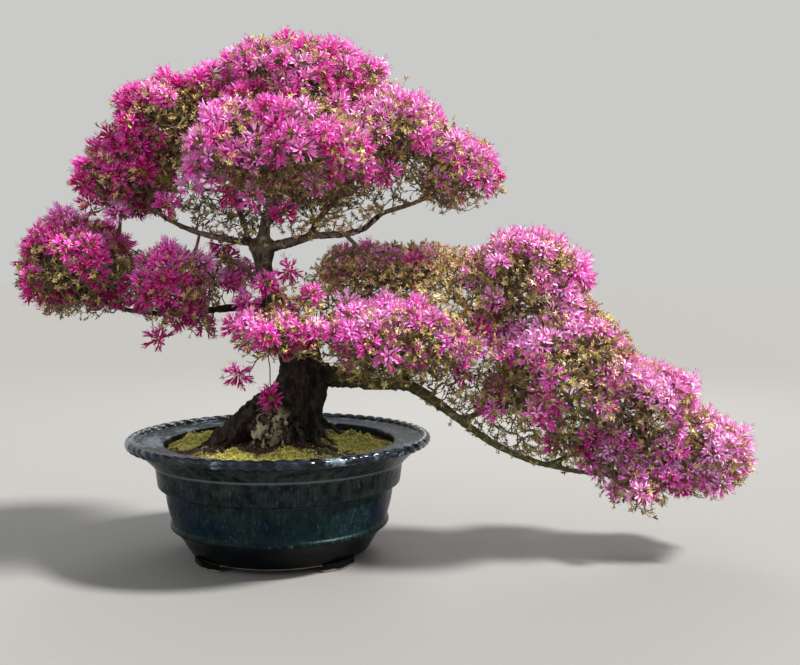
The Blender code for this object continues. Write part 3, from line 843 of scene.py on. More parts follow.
def facing(ways: Array, spins: Array) -> Array:
    """Frames whose third axis runs along the ways.

    Args:
        ways: unit directions, one row each.
        spins: how far each frame is turned about its direction, in radians.

    Returns:
        One 3 by 3 matrix for each, with the axes as its columns.
    """
    helper = np.where(np.abs(ways[:, 2:]) < 0.9, [[0.0, 0.0, 1.0]], [[1.0, 0.0, 0.0]])
    side = normalised(np.cross(helper, ways))
    other = np.cross(ways, side)
    cos, sin = np.cos(spins)[:, None], np.sin(spins)[:, None]
    return np.stack([side * cos + other * sin, other * cos - side * sin, ways], axis=2)


def laid(form: Form, places: Array, frames: Array, sizes: Array, tints: Array) -> Form:
    """Many copies of a form.

    Args:
        form: what is copied.
        places: where each copy's origin goes.
        frames: each copy's axes, as facing() gives them.
        sizes: each copy's scale.
        tints: each copy's row on the map, from 0 to 1.

    Returns:
        All the copies as one form.
    """
    count, size = len(places), len(form.points)
    spread = np.einsum("nij,pj->npi", frames, form.points)
    points = places[:, None] + sizes[:, None, None] * spread
    faces = form.faces[None] + size * np.arange(count)[:, None, None]
    rows = MAP_EDGE + tints[:, None] * (1 - 2 * MAP_EDGE) + form.spots[None, :, 1] * MAP_WIDTH
    spots = np.stack([np.broadcast_to(form.spots[:, 0], rows.shape), rows], axis=2)
    corners = form.faces.shape[1]
    return Form(points.reshape(-1, 3), faces.reshape(-1, corners), spots.reshape(-1, 2))


def read_shape(shape: bmesh.types.BMesh, swell: float = 0.0) -> Form:
    """Turns an edit mesh into a form, and frees it.

    Args:
        shape: the edit mesh.
        swell: how far each point is moved along its normal.

    Returns:
        The form.
    """
    points = np.array([vert.co + vert.normal * swell for vert in shape.verts])
    faces = np.array([[vert.index for vert in face.verts] for face in shape.faces])
    shape.free()
    return Form(points, faces)


def ball(subdivisions: int) -> Form:
    """A round ball of radius 1, as triangles."""
    shape = bmesh.new()
    bmesh.ops.create_icosphere(shape, subdivisions=subdivisions, radius=1.0)
    return read_shape(shape)


def welded(names: Iterable[str], swell: float = 0.0) -> Form:
    """Some of the model's nodes as one form of triangles.

    Args:
        names: the nodes.
        swell: how far each is made bigger all round.

    Returns:
        Their triangles, each node closed.
    """
    forms = []
    for name in names:
        shape = bmesh.new()
        shape.from_mesh(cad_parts[name].data)
        bmesh.ops.remove_doubles(shape, verts=shape.verts, dist=1e-5)
        bmesh.ops.triangulate(shape, faces=shape.faces)
        bmesh.ops.recalc_face_normals(shape, faces=shape.faces)
        forms.append(read_shape(shape, swell))
    return joined(forms)


def ellipsoid(middle: Sequence[float], half: Sequence[float]) -> Form:
    """A closed ellipsoid of some middle and half sizes, as triangles."""
    sphere = ball(3)
    return Form(sphere.points * np.array(half) + np.array(middle), sphere.faces)


def remeshed(form: Form, voxel: float, smoothing: int) -> Form:
    """An even mesh over a form's outside.

    Args:
        form: closed shells, which may overlap.
        voxel: the size of the even mesh's faces.
        smoothing: how many times it is smoothed.

    Returns:
        The even mesh, as triangles.
    """
    thing = form.object("remesh", bpy.data.materials.new("remesh"), smooth=False)
    step = thing.modifiers.new("even", "REMESH")
    step.mode = "VOXEL"
    step.voxel_size = voxel
    if smoothing:
        step = thing.modifiers.new("smooth", "SMOOTH")
        step.factor = 0.5
        step.iterations = smoothing
    final = thing.evaluated_get(bpy.context.evaluated_depsgraph_get()).to_mesh()
    final.calc_loop_triangles()
    points = np.empty(len(final.vertices) * 3, np.float32)
    final.vertices.foreach_get("co", points)
    faces = np.empty(len(final.loop_triangles) * 3, np.int32)
    final.loop_triangles.foreach_get("vertices", faces)
    mesh, material = thing.data, thing.data.materials[0]
    bpy.data.objects.remove(thing)
    bpy.data.meshes.remove(mesh)
    bpy.data.materials.remove(material)
    return Form(points.reshape(-1, 3).astype(float), faces.reshape(-1, 3))


def corner_normals(form: Form) -> Array:
    """A smooth normal for each point of a form of triangles."""
    a, b, c = (form.points[form.faces[:, k]] for k in range(3))
    flat = np.cross(b - a, c - a)
    normals = np.zeros_like(form.points)
    for k in range(3):
        np.add.at(normals, form.faces[:, k], flat)
    return normalised(normals)


def thinned(points: Array, spacing: float) -> list[int]:
    """Thins points out, so that no two stand closer than the spacing.

    Args:
        points: one row each.
        spacing: the least distance between two.

    Returns:
        The numbers of the points to keep, in order.
    """
    cells: dict[tuple[int, int, int], list[int]] = {}
    kept = []
    for i, point in enumerate(points):
        x, y, z = (int(v) for v in np.floor(point / spacing))
        near = (
            j
            for dx in (-1, 0, 1)
            for dy in (-1, 0, 1)
            for dz in (-1, 0, 1)
            for j in cells.get((x + dx, y + dy, z + dz), ())
        )
        if all(((points[j] - point) ** 2).sum() >= spacing**2 for j in near):
            cells.setdefault((x, y, z), []).append(i)
            kept.append(i)
    return kept


def finish_piece(
    thing: bpy.types.Object, replaced: Iterable[str] = ()
) -> bpy.types.Object:
    """Rides a piece on the model, hides the model's nodes that it stands for, and logs its face
    count.

    Args:
        thing: the piece.
        replaced: the model's nodes that it stands for.

    Returns:
        The piece.
    """
    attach(thing, "root")
    names = list(replaced)
    if names:
        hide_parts(*names)
    log.info("%s: %d faces", thing.name, len(thing.data.polygons))
    return thing


def all_noise(points: Array, scale: Sequence[float]) -> Array:
    """Smooth noise about 0 at each point, finer where the scale is larger."""
    return np.array([noise.noise(Vector(point)) for point in points * np.array(scale)])


def ground_noise(spots: Array, coarse: float, fine: float, share: float, shift: float) -> Array:
    """Smooth noise of two sizes over level ground.

    Args:
        spots: x and y, one row each.
        coarse: how fine the first layer is.
        fine: how fine the second layer is.
        share: how strong the second layer is.
        shift: how far off the second layer is read.

    Returns:
        The noise at each spot.
    """
    flat = np.column_stack([spots, np.zeros(len(spots))])
    second = all_noise(flat + shift, (fine, fine, 1.0))
    return all_noise(flat, (coarse, coarse, 1.0)) + share * second


# Pot


@dataclass
class Pot:
    """The round glazed pot, with its rolled ridge, twisted rope rim, feet and drainage holes."""

    foot_height: float = 0.01
    waist_height: float = 0.05
    body_height: float = 0.06
    band_height: float = 0.03
    flare_height: float = 0.041
    base_radius: float = 0.148
    base_edge: float = 0.006
    waist_radius: float = 0.166
    ridge_radius: float = 0.181
    ridge_height: float = 0.01
    body_top_radius: float = 0.1885
    ledge_radius: float = 0.2
    ledge_height: float = 0.005
    neck_radius: float = 0.2035
    rim_radius: float = 0.25
    rope_thickness: float = 0.014
    mouth_radius: float = 0.19
    dish: float = 0.003
    wall: float = 0.012
    floor: float = 0.014
    strands: int = 64
    strand_depth: float = 0.21
    segments: int = 768
    hole_radius: float = 0.018
    hole_circle: float = 0.066
    hole_count: int = 3
    hole_sides: int = 40
    foot_count: int = 4
    foot_length: float = 0.068
    foot_depth: float = 0.018
    foot_inset: float = 0.003
    foot_lobe: float = 0.22
    foot_sides: int = 48
    axis: tuple[float, float] = field(init=False)
    base_z: float = field(init=False)
    floor_z: float = field(init=False)
    ridge_z: float = field(init=False)
    ledge_z: float = field(init=False)
    neck_z: float = field(init=False)
    rope_z: float = field(init=False)
    mouth_z: float = field(init=False)

    def __post_init__(self) -> None:
        """Finds the pot's axis in the frame, and adds up the heights of its parts."""
        low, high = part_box("pot")
        self.axis = ((low.x + high.x) / 2, (low.y + high.y) / 2)
        self.base_z = self.foot_height
        self.floor_z = self.base_z + self.floor
        self.ridge_z = self.base_z + self.waist_height
        self.ledge_z = self.ridge_z + self.body_height
        self.neck_z = self.ledge_z + self.band_height
        self.rope_z = self.neck_z + self.flare_height
        self.mouth_z = self.rope_z - self.dish

    def inner_corners(self) -> list[Triple]:
        """The inner wall from the mouth to the floor, as radius, height and rounding."""
        return [
            (self.mouth_radius, self.mouth_z, 0.0035),
            (self.mouth_radius, self.mouth_z - self.wall, 0.002),
            (self.neck_radius - self.wall, self.neck_z, 0.004),
            (self.body_top_radius - self.wall, self.ledge_z - self.ledge_height, 0.004),
            (self.ridge_radius - self.wall, self.ridge_z, 0.006),
            (self.base_radius - self.wall, self.floor_z, 0.0),
        ]

    def outer_corners(self) -> list[Triple]:
        """The outer wall from the base's edge to under the rope, as radius, height and rounding."""
        ridge, top, rope = self.ridge_height, self.ridge_z, self.rope_thickness
        belly = (self.ridge_radius + self.body_top_radius) / 2 + 0.001
        return [
            (self.base_radius - self.base_edge, self.base_z, 0.0),
            (self.base_radius, self.base_z, 0.003),
            (self.waist_radius, top - 2 * ridge, 0.01),
            (self.ridge_radius - ridge / 2, top - ridge, 0.002),
            (self.ridge_radius, top - ridge * 0.75, 0.002),
            (self.ridge_radius, top - ridge * 0.25, 0.002),
            (self.ridge_radius - ridge / 3, top + 0.001, 0.0025),
            (belly, (top + self.ledge_z) / 2, 0.02),
            (self.body_top_radius, self.ledge_z - self.ledge_height, 0.003),
            (self.ledge_radius, self.ledge_z, 0.0025),
            (self.neck_radius - 0.0015, (self.ledge_z + self.neck_z) / 2, 0.008),
            (self.neck_radius, self.neck_z, 0.006),
            (self.neck_radius + 0.003, self.neck_z + 0.004, 0.0015),
            (self.neck_radius + 0.006, self.neck_z + 0.008, 0.002),
            (self.neck_radius + 0.018, self.neck_z + 0.02, 0.008),
            (self.rim_radius - rope * 0.9, self.rope_z - rope * 0.55, 0.0),
        ]

    @staticmethod
    def rounded(corners: Sequence[Triple], step: float = 0.012) -> Array:
        """A line through corners, rounded at each.

        Args:
            corners: radius, height and how far along each side the rounding starts.
            step: the longest straight run between two of the line's points.

        Returns:
            The line's points, as radius and height.
        """
        stops = [np.array(corner[:2]) for corner in corners]
        line = [stops[0]]
        runs = zip(stops, stops[1:], stops[2:], corners[1:], strict=False)
        for before, here, after, (_, _, radius) in runs:
            reach_in = min(radius, np.linalg.norm(here - before) * 0.45)
            reach_out = min(radius, np.linalg.norm(after - here) * 0.45)
            start = here + normalised(before - here) * reach_in
            end = here + normalised(after - here) * reach_out
            for t in np.linspace(0, 1, 4):
                line.append((1 - t) ** 2 * start + 2 * t * (1 - t) * here + t**2 * end)
        line.append(stops[-1])
        points = [line[0]]
        for here, after in zip(line, line[1:], strict=False):
            cuts = max(1, math.ceil(np.linalg.norm(after - here) / step))
            points += [here + (after - here) * k / cuts for k in range(1, cuts + 1)]
        return np.array(points)

    def rope_ring(self, count: int = 16) -> tuple[Array, Array]:
        """The rope's outline round its own middle: its angles, and which way each of them faces."""
        angles = np.radians(np.linspace(-115, 150, count))
        return angles, np.stack([np.cos(angles), np.sin(angles)], axis=1)

    def body(self) -> Form:
        """The pot's turned wall, from the base's edge round the rim to the inner floor's edge."""
        angles, ways = self.rope_ring()
        outer = self.rounded(self.outer_corners())
        inner = self.rounded(self.inner_corners_from_rope())
        turns = even_turns(self.segments)
        rope_middle = np.array([self.rim_radius - self.rope_thickness / 2, self.rope_z])
        rings = [np.broadcast_to(row, (self.segments, 2)) for row in outer]
        for angle, way in zip(angles, ways, strict=True):
            strand = np.abs(np.cos(self.strands * turns / 2 + 1.1 * angle))
            swell = 1 - self.strand_depth + 1.6 * self.strand_depth * strand**0.7
            thick = self.rope_thickness / 2 * swell
            rings.append(rope_middle + thick[:, None] * way)
        rings += [np.broadcast_to(row, (self.segments, 2)) for row in inner]
        grid = np.array(rings)
        radius, height = grid[..., 0], grid[..., 1]
        points = np.stack([radius * np.cos(turns), radius * np.sin(turns), height], axis=2)
        return Form(points.reshape(-1, 3), ring_faces(len(grid), self.segments))

    def inner_corners_from_rope(self) -> list[Triple]:
        """The dished flange from the rope's inner side, and the inner wall below it."""
        rope = self.rope_thickness
        start = (self.rim_radius - rope * 0.95, self.rope_z + rope * 0.1, 0.0)
        dished = (self.mouth_radius + 0.024, self.mouth_z + 0.0012, 0.012)
        return [start, dished, *self.inner_corners()]

    def holes(self) -> list[tuple[float, float]]:
        """The drainage holes' middles, about the pot's axis."""
        turns = [math.pi / 2 + FULL_TURN * i / self.hole_count for i in range(self.hole_count)]
        return [(self.hole_circle * math.cos(t), self.hole_circle * math.sin(t)) for t in turns]

    def plate(self, radius: float, height: float, up: bool) -> Form:
        """A flat round plate with the drainage holes in it.

        Args:
            radius: its outer radius.
            height: where it lies.
            up: whether it faces up.

        Returns:
            The plate, as triangles.
        """
        outline = [FULL_TURN * i / self.segments for i in range(0, self.segments, 4)]
        points = [(radius * math.cos(t), radius * math.sin(t)) for t in outline]
        size = self.hole_radius
        loops = [list(range(len(points)))]
        for x, y in self.holes():
            loops.append(list(range(len(points), len(points) + self.hole_sides)))
            for i in range(self.hole_sides):
                turn = FULL_TURN * i / self.hole_sides
                points.append((x + size * math.cos(turn), y + size * math.sin(turn)))
        edges = [(a, b) for loop in loops for a, b in zip(loop, loop[1:] + loop[:1], strict=True)]
        cut = delaunay_2d_cdt([Vector(p) for p in points], edges, [], 0, 1e-7)
        flat = np.array([tuple(p) for p in cut[0]])
        faces = []
        for face in cut[2]:
            middle = flat[list(face)].mean(axis=0)
            if all(math.dist(middle, hole) > size for hole in self.holes()):
                faces.append(face if up else tuple(reversed(face)))
        return Form(np.column_stack([flat, np.full(len(flat), height)]), np.array(faces))

    def feet(self) -> Form:
        """The four cloud feet, each rounded at its lower edge."""
        count = self.foot_sides
        turns = even_turns(count)
        bulge = 1 + self.foot_lobe * np.cos(3 * turns) * np.cos(turns)
        x, y = self.foot_depth / 2 * np.cos(turns) * bulge, self.foot_length / 2 * np.sin(turns)
        levels = [(0.0, 0.0), (0.86, 0.0), (0.95, 0.0008), (0.99, 0.0025), (1.0, 0.006)]
        levels += [(1.0, self.base_z + 0.003)]
        rings = [np.stack([x * size, y * size, np.full(count, z)], axis=1) for size, z in levels]
        foot = Form(np.concatenate(rings), ring_faces(len(levels), count))
        foot = foot.moved((self.base_radius - self.foot_inset, 0, 0))
        angles = [FULL_TURN * (i + 0.5) / self.foot_count for i in range(self.foot_count)]
        return joined([foot.turned(angle) for angle in angles])

    def hole_walls(self) -> Form:
        """The drainage holes' sides."""
        forms = []
        path = np.array([[0, 0, self.floor_z], [0, 0, self.base_z]])
        for x, y in self.holes():
            wall = stalk(path, np.full(2, self.hole_radius), self.hole_sides, (0, 1))
            turned_in = Form(wall.points, wall.faces[:, ::-1])
            forms.append(turned_in.moved((x, y, 0)))
        return joined(forms)

    def build(self) -> bpy.types.Object:
        """Builds and dresses the pot, and returns its piece."""
        forms = [
            self.body().as_triangles(),
            self.plate(self.base_radius - self.base_edge, self.base_z, up=False),
            self.plate(self.base_radius - self.wall, self.floor_z, up=True),
            self.feet().as_triangles(),
            self.hole_walls().as_triangles(),
        ]
        bare = [Form(form.points, form.faces) for form in forms]
        whole = joined(bare).moved((*self.axis, 0))
        thing = whole.object("glazed_pot", GlazeFinish().make(self))
        thing.data.set_sharp_from_angle(angle=math.radians(48))
        return finish_piece(thing, ["pot"])


# Soil and moss


@dataclass
class Soil:
    """The mounded soil, with loose grains on it and moss cushions round the trunk."""

    pot: Pot
    depth: float = 0.012
    gap: float = 0.0006
    mound: float = 0.017
    bump: float = 0.0022
    rings: int = 90
    segments: int = 300
    underside: float = 0.006
    grain_count: int = 5200
    grain_size: float = 0.0016
    cushion_height: float = 0.014
    cushion_rows: int = 26
    moss_spacing: float = 0.0024
    spread_tries: int = 42000

    @property
    def edge_z(self) -> float:
        """The soil's height at the pot's wall."""
        return self.pot.mouth_z - self.depth

    @property
    def reach(self) -> float:
        """The soil's radius at its edge."""
        return self.pot.mouth_radius - self.gap

    def ground(self, spots: Array) -> Array:
        """The soil's height at places about the pot's axis, with its bumps.

        Args:
            spots: x and y, one row each.

        Returns:
            The heights.
        """
        away = np.minimum(np.linalg.norm(spots, axis=1) / self.reach, 1.0)
        smooth = self.edge_z + self.mound * np.cos(away * math.pi / 2)
        lumps = ground_noise(spots, 34.0, 110.0, 0.5, 3.0)
        fade = np.clip((1 - away) * 12, 0.2, 1.0)
        return smooth - 0.0008 + self.bump * lumps * fade

    def build_ground(self) -> bpy.types.Object:
        """Builds and dresses the soil itself, and returns its piece."""
        shares = np.linspace(0, 1, self.rings + 1)[1:]
        turns = even_turns(self.segments)
        ways = np.stack([np.cos(turns), np.sin(turns)], axis=1)
        spots = (shares * self.reach)[:, None, None] * ways
        top = np.column_stack([spots.reshape(-1, 2), self.ground(spots.reshape(-1, 2))])
        rows = [top.reshape(self.rings, self.segments, 3)]
        bottom = self.pot.floor_z + self.underside
        for radius, height in self.pot.rounded(self.pot.inner_corners()[1:], 0.02):
            ring_z = max(float(height), bottom)
            if ring_z < self.edge_z - 0.001:
                ring = np.column_stack([(radius - self.gap) * ways, np.full(len(ways), ring_z)])
                rows.append(ring[None])
        grid = np.concatenate(rows)
        n, count = self.segments, len(grid)
        middle_z = self.ground(np.zeros((1, 2)))[0]
        points = np.concatenate([grid.reshape(-1, 3), [[0, 0, middle_z], [0, 0, bottom]]])
        quads = np.roll(ring_faces(count, n)[:, ::-1], 1, axis=1)
        cut = Form(points, quads).as_triangles().faces
        k, j, last = np.arange(n), (np.arange(n) + 1) % n, (count - 1) * n
        cap = np.stack([np.full(n, count * n), k, j], axis=1)
        base = np.stack([np.full(n, count * n + 1), last + j, last + k], axis=1)
        whole = Form(points, np.concatenate([cut, cap, base])).moved((*self.pot.axis, 0))
        thing = whole.object("soil_ground", SoilFinish().make())
        return finish_piece(thing, ["soil"])

    @staticmethod
    def grain() -> Form:
        """A rough little stone, as triangles."""
        smooth = ball(1)
        places = [Vector(point) for point in smooth.points]
        points = np.array([place * (1 + 0.28 * noise.noise(place * 2.1)) for place in places])
        spots = np.stack([(points[:, 2] + 1.4) / 2.8, points[:, 0] * 0.7], axis=1)
        return Form(points * np.array([1.0, 0.8, 0.7]), smooth.faces, spots)

    def scattered(self, count: int, rng: Chance) -> tuple[Array, Array]:
        """Random spots all over the soil.

        Args:
            count: how many.
            rng: the source of chance.

        Returns:
            Their x and y about the pot's axis, and how far round it each is, in radians.
        """
        away = self.reach * 0.985 * np.sqrt(rng.random(count))
        turn = FULL_TURN * rng.random(count)
        return np.stack([away * np.cos(turn), away * np.sin(turn)], axis=1), turn

    def build_grains(self, rng: Chance) -> bpy.types.Object:
        """Scatters the loose grains, and returns their piece."""
        spots, turn = self.scattered(self.grain_count, rng)
        sizes = self.grain_size * (0.5 + 0.9 * rng.random(self.grain_count) ** 2)
        places = np.column_stack([spots, self.ground(spots) + sizes * 0.2])
        ways = normalised(rng.normal(size=(self.grain_count, 3)))
        frames = facing(ways, turn)
        form = laid(self.grain(), places, frames, sizes, rng.random(self.grain_count))
        thing = form.moved((*self.pot.axis, 0)).object("soil_grains", GrainFinish().make())
        return finish_piece(thing)

    @staticmethod
    def shoot() -> Form:
        """A moss shoot: four tiny pointed leaves, as a star with its tips up."""
        rows = [(0.0, 0.0, 0.5, 0.0), (0.55, 0.35, 0.55, 0.1), (1.0, 0.95, 0.1, 0.0)]
        leaf = blade(rows, (0.0, 1.0))
        forms = [leaf.turned(FULL_TURN * k / 4 + 0.3 * (k % 2)) for k in range(4)]
        rows = [(0.0, 0.0, 0.35, 0.0), (0.1, 0.8, 0.5, 0.0), (0.0, 1.7, 0.08, 0.0)]
        return joined([*forms, blade(rows, (0.2, 1.0))])

    def shoots(self, roots: Array, lean: float, sizes: tuple[float, float], rng: Chance) -> Form:
        """Moss shoots at many places.

        Args:
            roots: where they stand.
            lean: how far they lean, by chance.
            sizes: the least size, and how much larger the largest is.
            rng: the source of chance.

        Returns:
            The shoots as one form.
        """
        count = len(roots)
        ways = normalised(UP + lean * rng.normal(size=(count, 3)))
        frames = facing(ways, FULL_TURN * rng.random(count))
        scales = sizes[0] + sizes[1] * rng.random(count)
        return laid(self.shoot(), roots, frames, scales, rng.random(count))

    def cushion(self, name: str) -> tuple[Array, Array]:
        """A moss cushion's middle, about the pot's axis, and half sizes, from its node's box."""
        low, high = (np.array(corner)[:2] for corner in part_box(name))
        return (low + high) / 2 - self.pot.axis, (high - low) / 2

    def heaped(self, middle: Array, half: Array, spots: Array) -> Array:
        """Places on the bed of a moss cushion.

        Args:
            middle: the cushion's middle.
            half: its half sizes.
            spots: where the places are across it, each from -1 to 1.

        Returns:
            The places, about the pot's axis.
        """
        place = middle + spots * half * 1.06
        away = np.minimum(np.linalg.norm(spots, axis=1), 1.0)
        lumps = ground_noise(place, 75.0, 190.0, 0.6, 9.0)
        dome = self.cushion_height * (1 - away**2.2) * (0.7 + 0.9 * lumps) - 0.0012 * away
        return np.column_stack([place, self.ground(place) + dome])

    def build_moss(self, name: str, rng: Chance) -> bpy.types.Object:
        """Builds a moss cushion of many shoots over a lumpy bed.

        Args:
            name: the model's node that it stands for.
            rng: the source of chance.

        Returns:
            Its piece.
        """
        middle, half = self.cushion(name)
        count = self.cushion_rows
        axis = np.linspace(-1.0, 1.0, count)
        gx, gy = np.meshgrid(axis, axis, indexing="ij")
        disc = np.stack([gx * np.sqrt(1 - gy**2 / 2), gy * np.sqrt(1 - gx**2 / 2)], axis=-1)
        top = self.heaped(middle, half, disc.reshape(-1, 2))
        i, k = np.meshgrid(np.arange(count - 1), np.arange(count - 1), indexing="ij")
        quads = [i * count + k, (i + 1) * count + k, (i + 1) * count + k + 1, i * count + k + 1]
        along = 0.12 + 0.02 * rng.random(len(top))
        bed_spots = np.stack([along, 0.5 + 0.45 * rng.random(len(top))], 1)
        bed = Form(top, np.stack(quads, axis=-1).reshape(-1, 4), bed_spots)
        area = math.pi * half[0] * half[1]
        tries = rng.random((int(area / self.moss_spacing**2 * 3.2), 2)) * 2 - 1
        tries = tries[np.linalg.norm(tries, axis=1) < 1.0]
        roots = self.heaped(middle, half, tries)
        roots = roots[thinned(roots, self.moss_spacing)]
        shoots = self.shoots(roots - [0, 0, 0.0004], 0.35, (0.0017, 0.0012), rng)
        form = joined([bed, shoots]).moved((*self.pot.axis, 0))
        material = bpy.data.materials.get(MossFinish.name) or MossFinish().make()
        return finish_piece(form.object(f"{name}_cushion", material), [name])

    def build_moss_spread(self, names: Sequence[str], rng: Chance) -> None:
        """Scatters thinner moss round the cushions, in ragged patches.

        Args:
            names: the cushions' nodes.
            rng: the source of chance.
        """
        spots, _ = self.scattered(self.spread_tries, rng)
        beyond = np.full(len(spots), 1.0)
        for name in names:
            middle, half = self.cushion(name)
            edge = (np.linalg.norm((spots - middle) / half, axis=1) - 1) * half.mean()
            beyond = np.minimum(beyond, edge)
        ragged = ground_noise(spots, 30.0, 85.0, 0.7, 2.0)
        front = 0.01 * (spots[:, 1] < 0.02)
        chosen = (beyond > -0.008) & (beyond < 0.004 + front + 0.052 * ragged)
        spots = spots[chosen]
        roots = np.column_stack([spots, self.ground(spots) + 0.0002])
        roots = roots[thinned(roots, self.moss_spacing)]
        form = self.shoots(roots, 0.45, (0.0015, 0.0014), rng)
        thing = form.moved((*self.pot.axis, 0)).object("moss_spread", MossFinish().make())
        finish_piece(thing)

    def build(self, rng: Chance) -> None:
        """Builds the soil, its grains and its moss."""
        self.build_ground()
        self.build_grains(rng)
        names = sorted(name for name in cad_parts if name.startswith("moss_"))
        self.build_moss_spread(names, rng)
        for name in names:
            self.build_moss(name, rng)


# Wood


@dataclass(frozen=True)
class Root:
    """A root that bulges from the foot of the trunk and dives into the soil."""

    start: Triple
    knee: Triple
    end: Triple
    radius: float

    def form(self, wobble: float, rng: Chance) -> Form:
        """The root's knobbly tube about the pot's axis, as triangles.

        Args:
            wobble: how far it strays from its smooth line.
            rng: the source of chance.

        Returns:
            The tube, closed to a point at each end.
        """
        start, knee, end = (np.array(stop) for stop in (self.start, self.knee, self.end))
        t = np.linspace(0, 1, 15)[:, None]
        path = (1 - t) ** 2 * start + 2 * t * (1 - t) * knee + t**2 * end
        path[1:-1] += rng.normal(size=(13, 3)) * wobble
        radii = self.radius * (1 - 0.5 * t[:, 0]) * (1 + 0.22 * rng.normal(size=15))
        radii[[0, -1]] = 0.0002
        tube = stalk(path, radii, 10, (0, 1))
        return Form(tube.points, tube.faces)


ROOTS = (
    Root((0.012, -0.03, 0.262), (-0.002, -0.064, 0.24), (-0.012, -0.094, 0.186), 0.014),
    Root((0.022, -0.03, 0.25), (0.016, -0.062, 0.228), (0.014, -0.096, 0.184), 0.011),
    Root((0.004, -0.03, 0.255), (-0.026, -0.066, 0.228), (-0.036, -0.092, 0.184), 0.012),
    Root((0.034, -0.028, 0.24), (0.038, -0.062, 0.216), (0.048, -0.086, 0.182), 0.01),
    Root((0.05, -0.018, 0.226), (0.072, -0.046, 0.212), (0.102, -0.064, 0.182), 0.008),
    Root((-0.026, -0.028, 0.245), (-0.058, -0.062, 0.222), (-0.082, -0.078, 0.18), 0.012),
    Root((-0.058, -0.02, 0.232), (-0.096, -0.046, 0.214), (-0.124, -0.056, 0.176), 0.01),
    Root((0.03, 0.026, 0.245), (0.046, 0.062, 0.222), (0.066, 0.094, 0.18), 0.011),
    Root((-0.006, 0.026, 0.24), (-0.026, 0.058, 0.218), (-0.054, 0.086, 0.18), 0.01),
    Root((0.052, 0.01, 0.228), (0.084, 0.02, 0.21), (0.108, 0.034, 0.18), 0.008),
)


@dataclass
class Wood:
    """The trunk, roots and limbs: an even mesh over the model's, with ridged bark."""

    axis: tuple[float, float]
    voxel: float = 0.0026
    smoothing: int = 4
    wobble: float = 0.0022
    ridge: float = 0.075
    most_ridge: float = 0.0048
    lump: float = 0.0065
    thick: float = 0.05
    slim: float = 0.15
    slim_below: float = 0.05
    girth_rounds: int = 12
    form: Form = field(init=False)
    normals: Array = field(init=False)
    girth: Array = field(init=False)

    def __post_init__(self) -> None:
        """Makes the even mesh, and slims its limbs to their real girth."""
        rng = np.random.default_rng(SEED + 1)
        roots = [root.form(self.wobble, rng).moved((*self.axis, 0)) for root in ROOTS]
        whole = joined([welded(["trunk_and_branches"]), *(root.as_triangles() for root in roots)])
        even = remeshed(whole, self.voxel, self.smoothing)
        normals = corner_normals(even)
        girth = self.smoothed(even, self.measured_girth(even, normals))
        share = self.slim * np.clip((self.slim_below - girth) / 0.03, 0, 1)
        self.form = Form(even.points - normals * (girth * share)[:, None], even.faces)
        self.normals = corner_normals(self.form)
        self.girth = girth * (1 - 2 * share)

    @staticmethod
    def measured_girth(form: Form, normals: Array) -> Array:
        """How thick the wood is straight through each point.

        Args:
            form: the wood.
            normals: the outward direction at each of its points.

        Returns:
            The thickness at each point.
        """
        tree, found = form.tree(), []
        for point, normal in zip(form.points, normals, strict=True):
            hit = tree.ray_cast(Vector(point - normal * 0.0005), Vector(-normal), 0.2)
            found.append(hit[3] if hit[3] is not None else 0.01)
        return np.array(found)

    def smoothed(self, form: Form, values: Array) -> Array:
        """Evens values out over each point's neighbours.

        Args:
            form: the wood.
            values: one value for each of its points.

        Returns:
            The evened values.
        """
        share = np.zeros(len(values))
        np.add.at(share, form.faces.ravel(), 1.0)
        for _ in range(self.girth_rounds):
            total = np.zeros(len(values))
            np.add.at(total, form.faces.ravel(), np.repeat(values[form.faces].mean(axis=1), 3))
            values = total / np.maximum(share, 1.0)
        return values

    def build(self) -> bpy.types.Object:
        """Roughens the bark, dresses it, and returns its piece."""
        points = self.form.points
        upright = all_noise(points, (85.0, 85.0, 20.0))
        crossed = all_noise(points + 5.0, (48.0, 48.0, 30.0))
        fine = all_noise(points + 9.0, (210.0, 210.0, 90.0))
        lumps = all_noise(points + 2.0, (26.0, 26.0, 18.0))
        ridges = 1 - 2.4 * np.abs(upright) + 0.6 * crossed + 0.4 * fine
        depth = np.minimum(self.girth * self.ridge, self.most_ridge)
        big = np.clip((self.girth - 0.02) / self.thick, 0, 1)
        push = depth * (ridges - 0.8) + self.lump * big * lumps
        rough = Form(points + self.normals * push[:, None], self.form.faces)
        thing = rough.object("bark", BarkFinish().make())
        return finish_piece(thing, ["trunk_and_branches"])


# Canopy


@dataclass
class Cloud:
    """One cloud of the canopy, as the frame gives it."""

    name: str
    middle: Array
    half: Array
    flowering: bool

    @staticmethod
    def all() -> list["Cloud"]:
        """Every cloud in the frame."""
        found = []
        for node in sorted(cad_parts):
            if not node.startswith("foliage_"):
                continue
            name = node.removeprefix("foliage_")
            low, high = (np.array(corner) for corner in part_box(node))
            flowering = f"blossom_{name}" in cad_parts
            if flowering:
                more_low, more_high = (np.array(corner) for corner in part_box(f"blossom_{name}"))
                low, high = np.minimum(low, more_low), np.maximum(high, more_high)
            found.append(Cloud(name, (low + high) / 2, (high - low) / 2, flowering))
        return found


class Group(Enum):
    """The canopy's three masses, as the first words of their clouds' names."""

    CROWN = ("crown",)
    LEFT = ("left",)
    CASCADE = ("cascade", "low")


@dataclass(frozen=True)
class Spray:
    """A leafy spray between the clouds, placed about the pot's axis."""

    group: Group
    middle: Triple
    half: Triple
    flowering: bool = False


